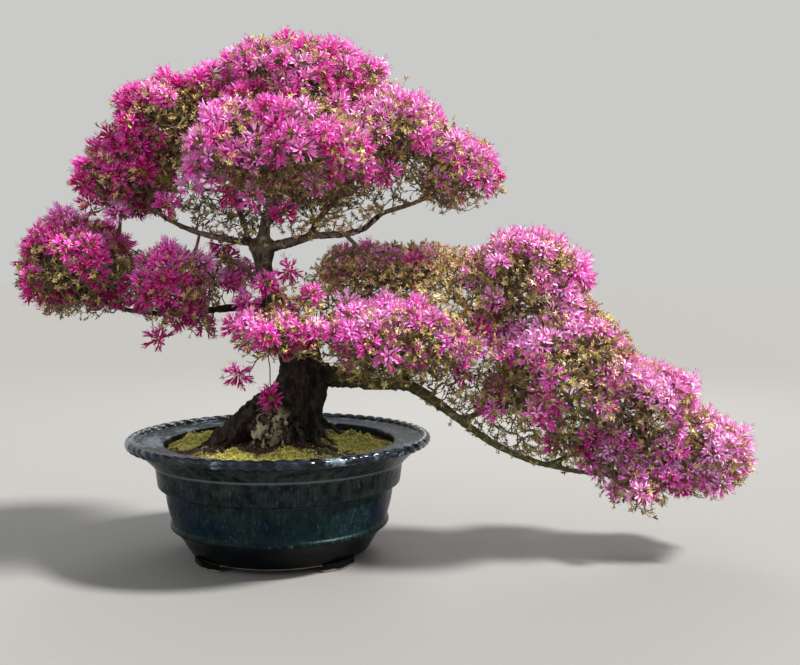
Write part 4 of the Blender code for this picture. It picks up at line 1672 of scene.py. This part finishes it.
SPRAYS = (
    Spray(Group.LEFT, (-0.092, 0.045, 0.49), (0.028, 0.026, 0.036)),
    Spray(Group.LEFT, (-0.05, 0.04, 0.452), (0.034, 0.026, 0.026)),
    Spray(Group.LEFT, (-0.13, -0.02, 0.368), (0.04, 0.026, 0.012)),
    Spray(Group.CASCADE, (0.062, 0.01, 0.462), (0.034, 0.036, 0.04)),
    Spray(Group.CASCADE, (0.022, -0.03, 0.4), (0.058, 0.036, 0.022)),
    Spray(Group.CASCADE, (0.12, -0.01, 0.408), (0.06, 0.04, 0.026)),
    Spray(Group.CASCADE, (0.255, -0.035, 0.31), (0.06, 0.036, 0.026)),
    Spray(Group.CASCADE, (0.35, -0.03, 0.25), (0.05, 0.032, 0.024)),
    Spray(Group.CASCADE, (0.47, -0.01, 0.165), (0.05, 0.036, 0.02)),
    Spray(Group.CASCADE, (0.528, 0.0, 0.392), (0.036, 0.045, 0.028), True),
    Spray(Group.CASCADE, (0.67, 0.0, 0.27), (0.034, 0.04, 0.024), True),
    Spray(Group.CROWN, (-0.178, -0.055, 0.65), (0.036, 0.04, 0.03), True),
    Spray(Group.CROWN, (0.152, 0.01, 0.788), (0.038, 0.048, 0.036), True),
)


@dataclass
class Skin:
    """The canopy's outer skin, one smooth surface over all the clouds and the sprays between."""

    axis: tuple[float, float]
    bridge: float = 0.02
    inset: float = 0.019
    voxel: float = 0.01
    smoothing: int = 6
    form: Form = field(init=False)
    normals: Array = field(init=False)
    tree: BVHTree = field(init=False)
    clouds: BVHTree = field(init=False)

    def __post_init__(self) -> None:
        """Makes the surface from the frame's clouds, bridging the narrow gaps between them."""
        names = sorted(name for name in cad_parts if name.startswith(("foliage_", "blossom_")))
        laden = (spray for spray in SPRAYS if spray.flowering)
        extra = [ellipsoid(spray.middle, spray.half).moved((*self.axis, 0)) for spray in laden]
        self.clouds = joined([welded(names), *extra]).tree()
        shells, normals = [], []
        for group in Group:
            mine = [name for name in names if name.split("_")[1] in group.value]
            forms = [welded(mine, self.bridge)]
            for spray in SPRAYS:
                if spray.group is group:
                    form = ellipsoid(spray.middle, np.array(spray.half) + self.bridge)
                    forms.append(form.moved((*self.axis, 0)))
            even = remeshed(joined(forms), self.voxel, self.smoothing)
            ways = corner_normals(even)
            shells.append(Form(even.points - ways * self.inset, even.faces))
            normals.append(ways)
        self.form = joined(shells)
        self.normals = np.concatenate(normals)
        self.tree = self.form.tree()

    def between_clouds(self, points: Array) -> Array:
        """How far each point is from the nearest cloud."""
        return np.array([self.clouds.find_nearest(Vector(point))[3] for point in points])

    def scattered(self, count: int, rng: Chance) -> tuple[Array, Array]:
        """Random places all over the skin.

        Args:
            count: how many.
            rng: the source of chance.

        Returns:
            The places and the skin's outward direction at each.
        """
        corners = [self.form.points[self.form.faces[:, k]] for k in range(3)]
        area = np.linalg.norm(np.cross(corners[1] - corners[0], corners[2] - corners[0]), axis=1)
        chosen = rng.choice(len(area), count, p=area / area.sum())
        u, v = rng.random(count), rng.random(count)
        over = u + v > 1
        u[over], v[over] = 1 - u[over], 1 - v[over]
        shares = np.stack([1 - u - v, u, v], axis=1)
        points = sum(shares[:, k, None] * corners[k][chosen] for k in range(3))
        faces = self.form.faces[chosen]
        normals = sum(shares[:, k, None] * self.normals[faces[:, k]] for k in range(3))
        return points, normalised(normals)

    def depths(self, points: Array) -> tuple[Array, Array]:
        """How far points lie under the skin.

        Args:
            points: one row each.

        Returns:
            Their distances to the skin, and the skin's direction where they are nearest to it.
        """
        found = [self.tree.find_nearest(Vector(point)) for point in points]
        return np.array([hit[3] for hit in found]), np.array([tuple(hit[1]) for hit in found])


@dataclass
class Twigs:
    """The twigs that grow from the wood out to every truss and many whorls of leaves."""

    spacing: float = 0.017
    bend: float = 0.75
    jitter: float = 0.0022
    tip_radius: float = 0.00055
    most_radius: float = 0.0038
    load_power: float = 0.44
    sides: int = 5
    points: Array = field(init=False)
    ways: Array = field(init=False)
    parents: Array = field(init=False)
    loads: Array = field(init=False)
    chains: list[list[int]] = field(init=False, default_factory=list)
    roots: int = field(init=False, default=0)
    count: int = field(init=False, default=0)

    def start(self, points: Array, ways: Array, room: int) -> None:
        """Sets where twigs may leave the wood.

        Args:
            points: the places on the wood.
            ways: the direction in which a twig leaves at each.
            room: how many points the whole network may have.
        """
        self.points = np.zeros((room, 3))
        self.ways = np.zeros((room, 3))
        self.parents = np.full(room, -1)
        self.roots = self.count = len(points)
        self.points[: self.count] = points
        self.ways[: self.count] = ways

    def reach(self, tip: Array, way: Array, rng: Chance) -> int:
        """Grows a twig to a tip from wherever suits it best.

        Args:
            tip: where the twig ends.
            way: the direction in which it ends.
            rng: the source of chance.

        Returns:
            The number of the tip's point.
        """
        gaps = tip - self.points[: self.count]
        away = np.linalg.norm(gaps, axis=1) + 1e-9
        straight = (gaps * self.ways[: self.count]).sum(axis=1) / away
        parent = int(np.argmin(away * (1 + self.bend - straight * self.bend)))
        begin, length = self.points[parent], away[parent]
        pull_in, pull_out = self.ways[parent] * length * 0.8, way * length * 0.8
        steps = max(2, round(length / self.spacing))
        chain, before = [parent], parent
        for k in range(1, steps + 1):
            t = k / steps
            here = (
                begin * (2 * t**3 - 3 * t**2 + 1)
                + pull_in * (t**3 - 2 * t**2 + t)
                + tip * (3 * t**2 - 2 * t**3)
                + pull_out * (t**3 - t**2)
            )
            if k < steps:
                here = here + rng.normal(size=3) * self.jitter
            self.points[self.count] = here
            self.ways[self.count] = normalised(here - self.points[before])
            self.parents[self.count] = before
            before = self.count
            chain.append(before)
            self.count += 1
        self.chains.append(chain)
        return before

    def weigh(self) -> None:
        """Counts how many tips each point carries."""
        self.loads = np.zeros(self.count)
        for chain in self.chains:
            self.loads[chain[-1]] += 1
        for i in range(self.count - 1, self.roots - 1, -1):
            self.loads[self.parents[i]] += self.loads[i]

    def radius(self, i: int) -> float:
        """How thick the twig is at a point."""
        return min(self.tip_radius * max(self.loads[i], 1.0) ** self.load_power, self.most_radius)

    def chain_form(self, chain: list[int], tint: float) -> Form:
        """The tube along one twig.

        Args:
            chain: its points, the first of them on what it grows from.
            tint: its row on the map.

        Returns:
            The tube.
        """
        radii = np.array([self.radius(i) for i in chain])
        radii[0] = radii[1]
        radii[-1] *= 0.6
        form = stalk(self.points[chain], radii, self.sides, (0.0, 1.0))
        young = 1 - np.repeat(radii, self.sides) / self.most_radius
        rows = MAP_EDGE + tint * (1 - 2 * MAP_EDGE) + form.spots[:, 1] * MAP_WIDTH
        share = 0.02 + 0.96 * np.clip(young, 0, 1)
        steps = np.repeat(np.arange(len(chain)) % 2, self.sides) * 0.012
        return Form(form.points, form.faces, np.stack([share - steps, rows], axis=1))


# Where single trusses hang clear of the clouds, about the pot's axis.
STRAYS = (
    (0.001, -0.1, 0.27),
    (-0.052, -0.1, 0.307),
    (-0.194, -0.03, 0.356),
    (0.013, -0.05, 0.562),
    (0.063, -0.08, 0.428),
    (0.115, -0.06, 0.417),
    (0.023, -0.05, 0.469),
    (-0.012, -0.06, 0.448),
    (-0.101, 0.03, 0.513),
    (-0.062, 0.03, 0.467),
    (-0.046, -0.05, 0.416),
    (-0.118, -0.13, 0.592),
    (-0.085, -0.14, 0.602),
    (-0.06, -0.13, 0.583),
    (-0.024, -0.135, 0.578),
    (0.07, -0.13, 0.6),
    (0.112, -0.12, 0.622),
    (0.18, -0.08, 0.62),
    (0.262, -0.06, 0.612),
    (-0.298, -0.04, 0.575),
    (-0.252, -0.05, 0.56),
    (-0.17, -0.06, 0.57),
)


@dataclass
class Canopy:
    """The flowers, the leaves and the twigs that carry them.

    A pair of sizes is the least one and how much larger the largest is.
    """

    axis: tuple[float, float]
    truss_tries: int = 30000
    leaf_tries: int = 80000
    shoot_tries: int = 9000
    twig_room: int = 150000
    truss_flowers: tuple[int, int] = (12, 16)
    truss_wrap: float = 1.12
    truss_reach: tuple[float, float] = (0.012, 0.005)
    flower_sizes: tuple[float, float] = (0.68, 0.3)
    leaf_sizes: tuple[float, float] = (0.95, 0.5)
    truss_spacing: float = 0.024
    least_sink: float = 0.021
    most_sink: float = 0.037
    leaf_spacing: float = 0.0118
    shell: float = 0.06
    patch: float = 15.0
    patch_gap: float = -0.045
    leafy: tuple[str, ...] = ("cascade_back",)
    laden: tuple[str, ...] = (
        "left_outer",
        "left_inner",
        "low_front",
        "cascade_low",
        "cascade_tip",
        "cascade_under",
        "crown_left",
    )
    quiet: tuple[Triple, ...] = (
        (0.31, 0.48, 0.07),
        (0.4, 0.445, 0.03),
        (-0.02, 0.735, 0.03),
        (-0.15, 0.75, 0.016),
        (0.09, 0.735, 0.024),
        (0.515, 0.3, 0.04),
        (0.4, 0.33, 0.03),
        (0.63, 0.215, 0.026),
    )
    crown_z: float = 0.57
    wood_girth: float = 0.04
    wood_starts: int = 3600
    shoot_spacing: float = 0.0125
    crown_rise: float = 0.075
    low_rise: float = 0.022
    clouds: list[Cloud] = field(default_factory=Cloud.all)
    twigs: Twigs = field(default_factory=Twigs)
    skin: Skin = field(init=False)

    def __post_init__(self) -> None:
        """Makes the skin."""
        self.skin = Skin(self.axis)

    def nearest_cloud(self, points: Array) -> Array:
        """Which cloud each point belongs to, by its number."""
        gaps = ((points - cloud.middle) / (cloud.half + 0.01) for cloud in self.clouds)
        return np.argmin(np.array([np.linalg.norm(gap, axis=1) for gap in gaps]), axis=0)

    def named(self, names: Iterable[str], owners: Array) -> Array:
        """Whether each point's cloud, by its number, is one of those named."""
        return np.array([cloud.name in names for cloud in self.clouds])[owners]

    def choose_trusses(self, rng: Chance) -> tuple[Array, Array]:
        """Spreads the trusses over the skin in clumps, with leafy gaps between.

        Args:
            rng: the source of chance.

        Returns:
            Their middles and the directions in which they face.
        """
        points, normals = self.skin.scattered(self.truss_tries, rng)
        clumps = all_noise(points, (self.patch,) * 3)
        clumps = clumps + 0.5 * all_noise(points + 4.0, (self.patch * 2.6,) * 3)
        owners = self.nearest_cloud(points)
        wanted = self.patch_gap + np.where(self.named(self.leafy, owners), 0.3, 0.0)
        wanted += np.clip(self.skin.between_clouds(points) / 0.012, 0, 1) * 0.22
        bare = np.where(self.named(self.laden, owners), 0.22, 0.7)
        wanted += np.clip(-normals[:, 2] + 0.1, 0, 1.1) * bare
        wanted -= np.clip(normals[:, 2], 0, 1) * 0.07
        crown = points[:, 2] > self.crown_z
        wanted -= np.where(crown, 0.08, 0.0)
        for side, height, reach in self.quiet:
            gaps = points[:, [0, 2]] - [self.axis[0] + side, height]
            wanted += 0.4 * np.exp(-(gaps**2).sum(axis=1) / reach**2)
        over = clumps - wanted
        chosen = over > 0
        points, normals, over = points[chosen], normals[chosen], over[chosen]
        rise = np.clip(over / 0.4, 0, 1) * (self.most_sink - self.least_sink)
        sink = self.most_sink - rise + 0.004 * rng.normal(size=len(points))
        points = points - normals * sink[:, None]
        kept = thinned(points, self.truss_spacing)
        points, normals = points[kept], normals[kept]
        ways = normalised(normals * 0.8 + UP * 0.45 + rng.normal(size=points.shape) * 0.22)
        strays = np.array(STRAYS) + [*self.axis, 0.0]
        outward = normalised([0.0, -0.7, 0.3] + 0.3 * rng.normal(size=strays.shape))
        return np.concatenate([points, strays]), np.concatenate([ways, outward])

    def choose_leaf_tips(self, rng: Chance) -> tuple[Array, Array]:
        """Spreads the leafy tips through the shell under the skin.

        Args:
            rng: the source of chance.

        Returns:
            Their places and the directions in which they point.
        """
        points, normals = self.skin.scattered(self.leaf_tries, rng)
        below = np.clip(-normals[:, 2], 0, 1)
        depth = 0.013 - 0.02 * below * rng.random(len(points))
        depth += self.shell * rng.random(len(points)) ** 1.2
        points = points - normals * depth[:, None]
        strays = np.repeat(np.array(STRAYS) + [*self.axis, 0.0], 3, axis=0)
        strays = strays + 0.012 * rng.normal(size=strays.shape) - [0.0, 0.0, 0.008]
        points = np.concatenate([strays, points])
        normals = np.concatenate([np.tile([0.0, -0.5, 0.5], (len(strays), 1)), normals])
        kept = thinned(points, self.leaf_spacing)
        points, normals = points[kept], normals[kept]
        ways = normalised(normals * 0.6 + [0.0, 0.0, 0.5] + rng.normal(size=points.shape) * 0.4)
        return points, ways

    def choose_shoots(self, wood: Wood, rng: Chance) -> tuple[Array, Array]:
        """Spreads short leafy shoots along the limbs, longer ones under the crown.

        Args:
            wood: the trunk and limbs.
            rng: the source of chance.

        Returns:
            Their tips and the directions in which they point.
        """
        points, normals = wood.form.points, wood.normals
        side = points[:, 0] - self.axis[0]
        limbs = (wood.girth < self.wood_girth) & (normals[:, 2] > -0.45)
        limbs &= ((points[:, 2] > 0.5) | (side > 0.12)) & (np.abs(side) > 0.02)
        chosen = rng.permutation(np.flatnonzero(limbs))[: self.shoot_tries]
        points, normals = points[chosen], normals[chosen]
        rise = np.where(points[:, 2] > 0.5, self.crown_rise, self.low_rise)
        rise = rise * (0.15 + 0.85 * rng.random(len(points)))
        out = 0.006 + 0.022 * rng.random(len(points))
        tips = points + normals * out[:, None] + rise[:, None] * UP
        tips += 0.4 * rise[:, None] * rng.normal(size=tips.shape) * [1.0, 1.0, 0.2]
        kept = thinned(tips, self.shoot_spacing)
        ways = normalised(normals * 0.5 + [0.0, 0.0, 0.8] + rng.normal(size=normals.shape) * 0.35)
        return tips[kept], ways[kept]

    def grow(self, wood: Wood, rng: Chance) -> tuple[Array, Array]:
        """Grows the twigs out of the wood to every truss and leafy tip.

        Args:
            wood: the trunk and limbs.
            rng: the source of chance.

        Returns:
            The trusses' middles and directions.
        """
        trusses, truss_ways = self.choose_trusses(rng)
        tips, tip_ways = self.choose_leaf_tips(rng)
        thin = np.flatnonzero((wood.girth < self.wood_girth) & (wood.form.points[:, 2] > 0.24))
        thin = rng.permutation(thin)[: self.wood_starts]
        centre = np.array([*self.axis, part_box("soil")[1].z])
        outward = normalised(wood.form.points[thin] - centre)
        starts = wood.form.points[thin] - wood.normals[thin] * (wood.girth[thin, None] * 0.35)
        shoots, shoot_ways = self.choose_shoots(wood, rng)
        goals = np.concatenate([trusses, tips, shoots])
        goal_ways = np.concatenate([truss_ways, tip_ways, shoot_ways])
        leaving = normalised(outward * 0.7 + wood.normals[thin] + [0.0, 0.0, 0.25])
        self.twigs.start(starts, leaving, self.twig_room)
        gaps = np.array([np.sqrt(((starts - goal) ** 2).sum(axis=1).min()) for goal in goals])
        for i in np.argsort(gaps):
            self.twigs.reach(goals[i], goal_ways[i], rng)
        self.twigs.weigh()
        counts = (len(trusses), len(tips), len(shoots), self.twigs.count)
        log.info("%d trusses, %d leafy tips, %d shoots, %d twig points", *counts)
        return trusses, truss_ways

    def build_twigs(self, rng: Chance) -> None:
        """Builds the twigs, as one piece for each part of the canopy."""
        material = TwigFinish().make()
        ends = self.twigs.points[[chain[-1] for chain in self.twigs.chains]]
        owners = self.nearest_cloud(ends)
        groups: dict[str, list[Form]] = {}
        for chain, owner in zip(self.twigs.chains, owners, strict=True):
            group = self.clouds[owner].name.split("_")[0]
            groups.setdefault(group, []).append(self.twigs.chain_form(chain, rng.random()))
        for group, forms in sorted(groups.items()):
            finish_piece(joined(forms).object(f"twigs_{group}", material))

    def build_leaves(self, rng: Chance) -> None:
        """Lays whorls of leaves along the outer twigs, as one piece for each cloud."""
        twigs, first = self.twigs, self.twigs.roots
        points, ways = twigs.points[first : twigs.count], twigs.ways[first : twigs.count]
        loads = twigs.loads[first:]
        depth, outward = self.skin.depths(points)
        chance = np.where(loads <= 1, 1.0, np.where(loads <= 6, 1.0, 0.5))
        chance *= np.clip((0.095 - depth) / 0.03, 0.1, 1)
        chance *= np.clip(1.15 + outward[:, 2] * 0.9, 0.4, 1.0)
        chosen = rng.random(len(points)) < chance
        points, ways, depth, outward = points[chosen], ways[chosen], depth[chosen], outward[chosen]
        ways = normalised(ways + [0.0, 0.0, 0.35] + rng.normal(size=points.shape) * 0.25)
        # Painted light and painted shade in the leaves' tint: paler facing up and to the right,
        # darker deeper inside the tree.
        painted_light_and_shade = 0.24 + 0.28 * outward[:, 2] + 0.32 * points[:, 0] - depth / 0.09
        owners = self.nearest_cloud(points)
        # Painted light: the leafy back cloud, in the crown's shadow, is tinted paler.
        painted_light_and_shade += 0.34 * self.named(self.leafy, owners)
        tints = np.clip(0.34 + 0.5 * painted_light_and_shade + 0.2 * rng.normal(size=len(points)), 0, 1)
        kinds = [leaf_whorl(kind, rng) for kind in range(3)]
        material = LeafFinish().make()
        for number, cloud in enumerate(self.clouds):
            mine = np.flatnonzero(owners == number)
            forms = []
            for kind, whorl in enumerate(kinds):
                some = mine[kind::3]
                frames = facing(ways[some], FULL_TURN * rng.random(len(some)))
                sizes = self.leaf_sizes[0] + self.leaf_sizes[1] * rng.random(len(some))
                forms.append(laid(whorl, points[some], frames, sizes, tints[some]))
            thing = joined(forms).object(f"leaves_{cloud.name}", material)
            finish_piece(thing, [f"foliage_{cloud.name}"])

    def truss_tints_with_painted_light(self, trusses: Array, ways: Array, rng: Chance) -> Array:
        """Chooses each truss's tint, with painted shade and painted light in it: deep low on the
        left, paler facing up and to the right.

        Args:
            trusses: the trusses' middles.
            ways: the directions in which they face.
            rng: the source of chance.

        Returns:
            Their shades, from 0 for deep to 1 for pale.
        """
        side = (trusses[:, 0] - self.axis[0]) / 0.6
        # Painted shade and painted light: deeper on the left and facing down, paler facing up and
        # to the right; the noise is random tone between trusses.
        shades = 0.38 + 0.28 * ways[:, 2] + 0.42 * side + 0.35 * all_noise(trusses, (9.0,) * 3)
        return np.clip(shades + 0.15 * rng.normal(size=len(trusses)), 0, 1)

    def build_flowers(self, trusses: Array, ways: Array, rng: Chance) -> None:
        """Builds every truss's flowers, as one piece for each cloud.

        Args:
            trusses: the trusses' middles.
            ways: the directions in which they face.
            rng: the source of chance.
        """
        kinds = [flower(openness, rng) for openness in Openness for _ in range(2)] + [bud()]
        chances = [0.15, 0.13, 0.22, 0.2, 0.12, 0.1, 0.08]
        owners = self.nearest_cloud(trusses)
        shades = self.truss_tints_with_painted_light(trusses, ways, rng)
        material = PetalFinish().make()
        for number, cloud in enumerate(self.clouds):
            places, faces_to, tints = [], [], []
            for i in np.flatnonzero(owners == number):
                count = rng.integers(*self.truss_flowers)
                axes = facing(ways[i][None], np.array([rng.random() * FULL_TURN]))[0]
                for k in range(count):
                    lean = math.acos(1 - self.truss_wrap * (k + rng.random()) / count)
                    turn, flat = 2.4 * k + 0.6 * rng.random(), math.sin(lean)
                    way = axes @ (flat * math.cos(turn), flat * math.sin(turn), math.cos(lean))
                    reach = self.truss_reach[0] + self.truss_reach[1] * rng.random()
                    places.append(trusses[i] + way * reach)
                    faces_to.append(way)
                    # Painted light and painted shade: a flower facing up is paler, one facing down
                    # deeper, plus random tone.
                    tints.append(shades[i] + 0.22 * (way[2] - 0.35) + 0.06 * rng.normal())
            if not places:
                continue
            places, faces_to = np.array(places), np.array(faces_to)
            tints = np.clip(np.array(tints), 0, 1)
            sizes = self.flower_sizes[0] + self.flower_sizes[1] * rng.random(len(places))
            sorts = rng.choice(len(kinds), len(places), p=chances)
            frames = facing(faces_to, FULL_TURN * rng.random(len(places)))
            forms = []
            for kind, form in enumerate(kinds):
                some = np.flatnonzero(sorts == kind)
                forms.append(laid(form, places[some], frames[some], sizes[some], tints[some]))
            thing = joined(forms).object(f"flowers_{cloud.name}", material)
            replaced = [f"blossom_{cloud.name}"] if cloud.flowering else []
            finish_piece(thing, replaced)

    def build(self, wood: Wood, rng: Chance) -> None:
        """Builds the twigs, the leaves and the flowers."""
        trusses, ways = self.grow(wood, rng)
        self.build_twigs(rng)
        self.build_leaves(rng)
        self.build_flowers(trusses, ways, rng)


class Openness(Enum):
    """How far a flower has opened, as its petals' reach, height, width and fold in millimetres.

    All of them start in the same way, at PETAL_FOOT.
    """

    WIDE = ((2.2, -0.8, 2.8, 0.3), (7.4, 3.4, 4.5, 0.5), (11.4, 3.0, 0.7, 0.0))
    CUPPED = ((1.9, -0.6, 2.7, 0.3), (5.9, 5.6, 4.3, 0.5), (9.8, 8.6, 0.7, 0.0))
    HALF = ((1.5, -0.4, 2.5, 0.3), (3.9, 7.2, 3.8, 0.5), (6.2, 11.8, 0.7, 0.0))


PETAL_FOOT = (0.9, -7.0, 1.1, 0.0)


def flower(openness: Openness, rng: Chance) -> Form:
    """A flower of five pointed petals, five stamens and a pistil, facing +Z.

    Args:
        openness: how far it has opened.
        rng: the source of the petals' small differences.

    Returns:
        The flower.
    """
    forms = []
    stations = (PETAL_FOOT, *openness.value)
    for k in range(5):
        size = 1 + 0.1 * rng.normal()
        curl = 1.2 * rng.normal()
        rows = [(r * size, z + curl * (r / 10) ** 2, w, f) for r, z, w, f in stations]
        petal = blade(np.array(rows) / 1000, (0.02, 0.68))
        forms.append(petal.turned(FULL_TURN * k / 5 + 0.12 * rng.normal()))
    spread = 0.0052 if openness is Openness.WIDE else 0.003
    for k in range(6):
        turn = FULL_TURN * (k + 0.5) / 5 + 0.3 * rng.normal()
        reach = spread * (0.6 + 0.8 * rng.random()) if k < 5 else 0.0012
        length = 0.0125 + 0.003 * rng.random() if k < 5 else 0.017
        path = np.array([[0.0004, 0, -0.003], [reach * 0.7, 0, length * 0.75], [reach, 0, length]])
        thread = stalk(path, np.array([0.00024, 0.00022, 0.00042]), 3, (0.74, 0.91))
        forms.append(thread.turned(turn))
    path = np.array([[0.001, 0, -0.014], [0, 0, -0.0068]])
    forms.append(stalk(path, np.array([0.0005, 0.0013]), 4, (0.95, 0.99)))
    return joined(forms)


def bud() -> Form:
    """A closed flower bud, facing +Z."""
    path = np.array([[0, 0, z] for z in (-0.01, -0.006, -0.002, 0.003, 0.0065)])
    tube = stalk(path, np.array([0.0006, 0.0015, 0.0023, 0.0018, 0.0003]), 5, (0.22, 0.62))
    stem = stalk(path[:2] - [0, 0, 0.004], np.array([0.0005, 0.0009]), 5, (0.95, 0.99))
    return joined([tube, stem])


def leaf_whorl(kind: int, rng: Chance) -> Form:
    """A whorl of small leaves, opening along +Z.

    Args:
        kind: 0 for a full whorl, 1 for a sparse one, and 2 for young upright leaves.
        rng: the source of the leaves' small differences.

    Returns:
        The whorl.
    """
    counts, lifts = (8, 7, 7), (20.0, 36.0, 58.0)
    forms = []
    for k in range(counts[kind]):
        size = 0.85 + 0.35 * rng.random()
        stations = [
            (0.0004, 0.0, 0.0005, 0.0),
            (0.0029 * size, 0.0005, 0.0018 * size, 0.0003),
            (0.0055 * size, -0.0002, 0.0004, 0.0),
        ]
        leaf = blade(stations, (0.03, 0.97)).lifted(math.radians(lifts[kind] + 12 * rng.normal()))
        low = leaf.moved((0, 0, -0.003 + 0.005 * rng.random()))
        forms.append(low.turned(FULL_TURN * k / counts[kind] + 0.35 * rng.normal()))
    return joined(forms)


# Drainage, stage, lights and camera


def dress_drainage() -> None:
    """Gives the drainage screens and their clips, which keep the model's shapes, their finishes."""
    kinds = {
        "drainage_screen_": (ScreenFinish().make(), Slot.SCREEN),
        "screen_clip_": (WireFinish().make(), Slot.WIRE),
    }
    for start, (material, slot) in kinds.items():
        for name, node in sorted(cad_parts.items()):
            if name.startswith(start):
                node.data.materials.clear()
                node.data.materials.append(material)
                log.info("%s dressed", name)


@dataclass
class Lamp:
    """A soft rectangular light aimed at the tree."""

    name: str
    place: Triple
    size: float
    power: float
    colour: Colour = (1.0, 1.0, 1.0)
    target: Triple = (0.0, 0.0, 0.4)

    def build(self) -> None:
        """Puts the light in the scene."""
        light = bpy.data.lights.new(self.name, "AREA")
        light.shape = "DISK"
        light.size = self.size
        light.energy = self.power
        light.color = self.colour
        thing = bpy.data.objects.new(self.name, light)
        thing.location = self.place
        way = Vector(self.target) - Vector(self.place)
        thing.rotation_euler = way.to_track_quat("-Z", "Y").to_euler()
        bpy.context.scene.collection.objects.link(thing)


@dataclass
class Studio:
    """The pale floor, the soft lights and the camera."""

    floor_size: float = 600.0
    sky: Colour = (0.8, 0.8, 0.79)
    sky_strength: float = 0.74
    sun_strength: float = 6.4
    sun_angle: float = 10.0
    sun_from: Triple = (0.75, -0.15, 0.9)
    sun_colour: Colour = (1.0, 0.97, 0.92)
    camera_side: float = 0.2
    camera_back: float = 1.545
    camera_height: float = 0.45
    camera_pitch: float = 3.1
    lens: float = 41.85
    lamps: tuple[Lamp, ...] = (
        Lamp("fill", (-2.2, -1.7, 1.3), 1.8, 10.0, (0.92, 0.96, 1.0)),
        Lamp("back", (0.4, 2.2, 1.9), 1.4, 22.0),
    )

    def build(self, pot: Pot) -> None:
        """Builds the stage round the pot.

        Args:
            pot: what the camera's place is measured from.
        """
        half = self.floor_size / 2
        corners = np.array([[-half, -half, 0], [half, -half, 0], [half, half, 0], [-half, half, 0]])
        floor = Form(corners, np.array([[0, 1, 2, 3]])).object("floor", FloorFinish().make())
        self.build_lights()
        camera = bpy.data.objects.new("camera", bpy.data.cameras.new("camera"))
        camera.data.lens = self.lens
        camera.location = (pot.axis[0] + self.camera_side, -self.camera_back, self.camera_height)
        camera.rotation_euler = (math.radians(90 - self.camera_pitch), 0, 0)
        bpy.context.scene.collection.objects.link(camera)
        bpy.context.scene.camera = camera

    def build_lights(self) -> None:
        """Puts the lamps, the sun and the sky in the scene."""
        for lamp in self.lamps:
            lamp.build()
        sun = bpy.data.lights.new("sun", "SUN")
        sun.energy = self.sun_strength
        sun.angle = math.radians(self.sun_angle)
        sun.color = self.sun_colour
        thing = bpy.data.objects.new("sun", sun)
        thing.rotation_euler = Vector(self.sun_from).to_track_quat("Z", "Y").to_euler()
        bpy.context.scene.collection.objects.link(thing)
        world = bpy.data.worlds.new("studio")
        world.use_nodes = True
        sky = world.node_tree.nodes["Background"]
        sky.inputs["Color"].default_value = (*self.sky, 1.0)
        sky.inputs["Strength"].default_value = self.sky_strength
        bpy.context.scene.world = world
        bpy.context.scene.view_settings.view_transform = "Standard"


def main() -> None:
    """Builds the tree, its pot and the stage, in order."""
    logging.basicConfig(level=logging.INFO, format="%(name)s: %(message)s")
    rng = np.random.default_rng(SEED)
    pot = Pot()
    pot.build()
    Soil(pot).build(rng)
    dress_drainage()
    wood = Wood(pot.axis)
    wood.build()
    Canopy(pot.axis).build(wood, rng)
    Studio().build(pot)


if __name__ == "__main__":
    main()
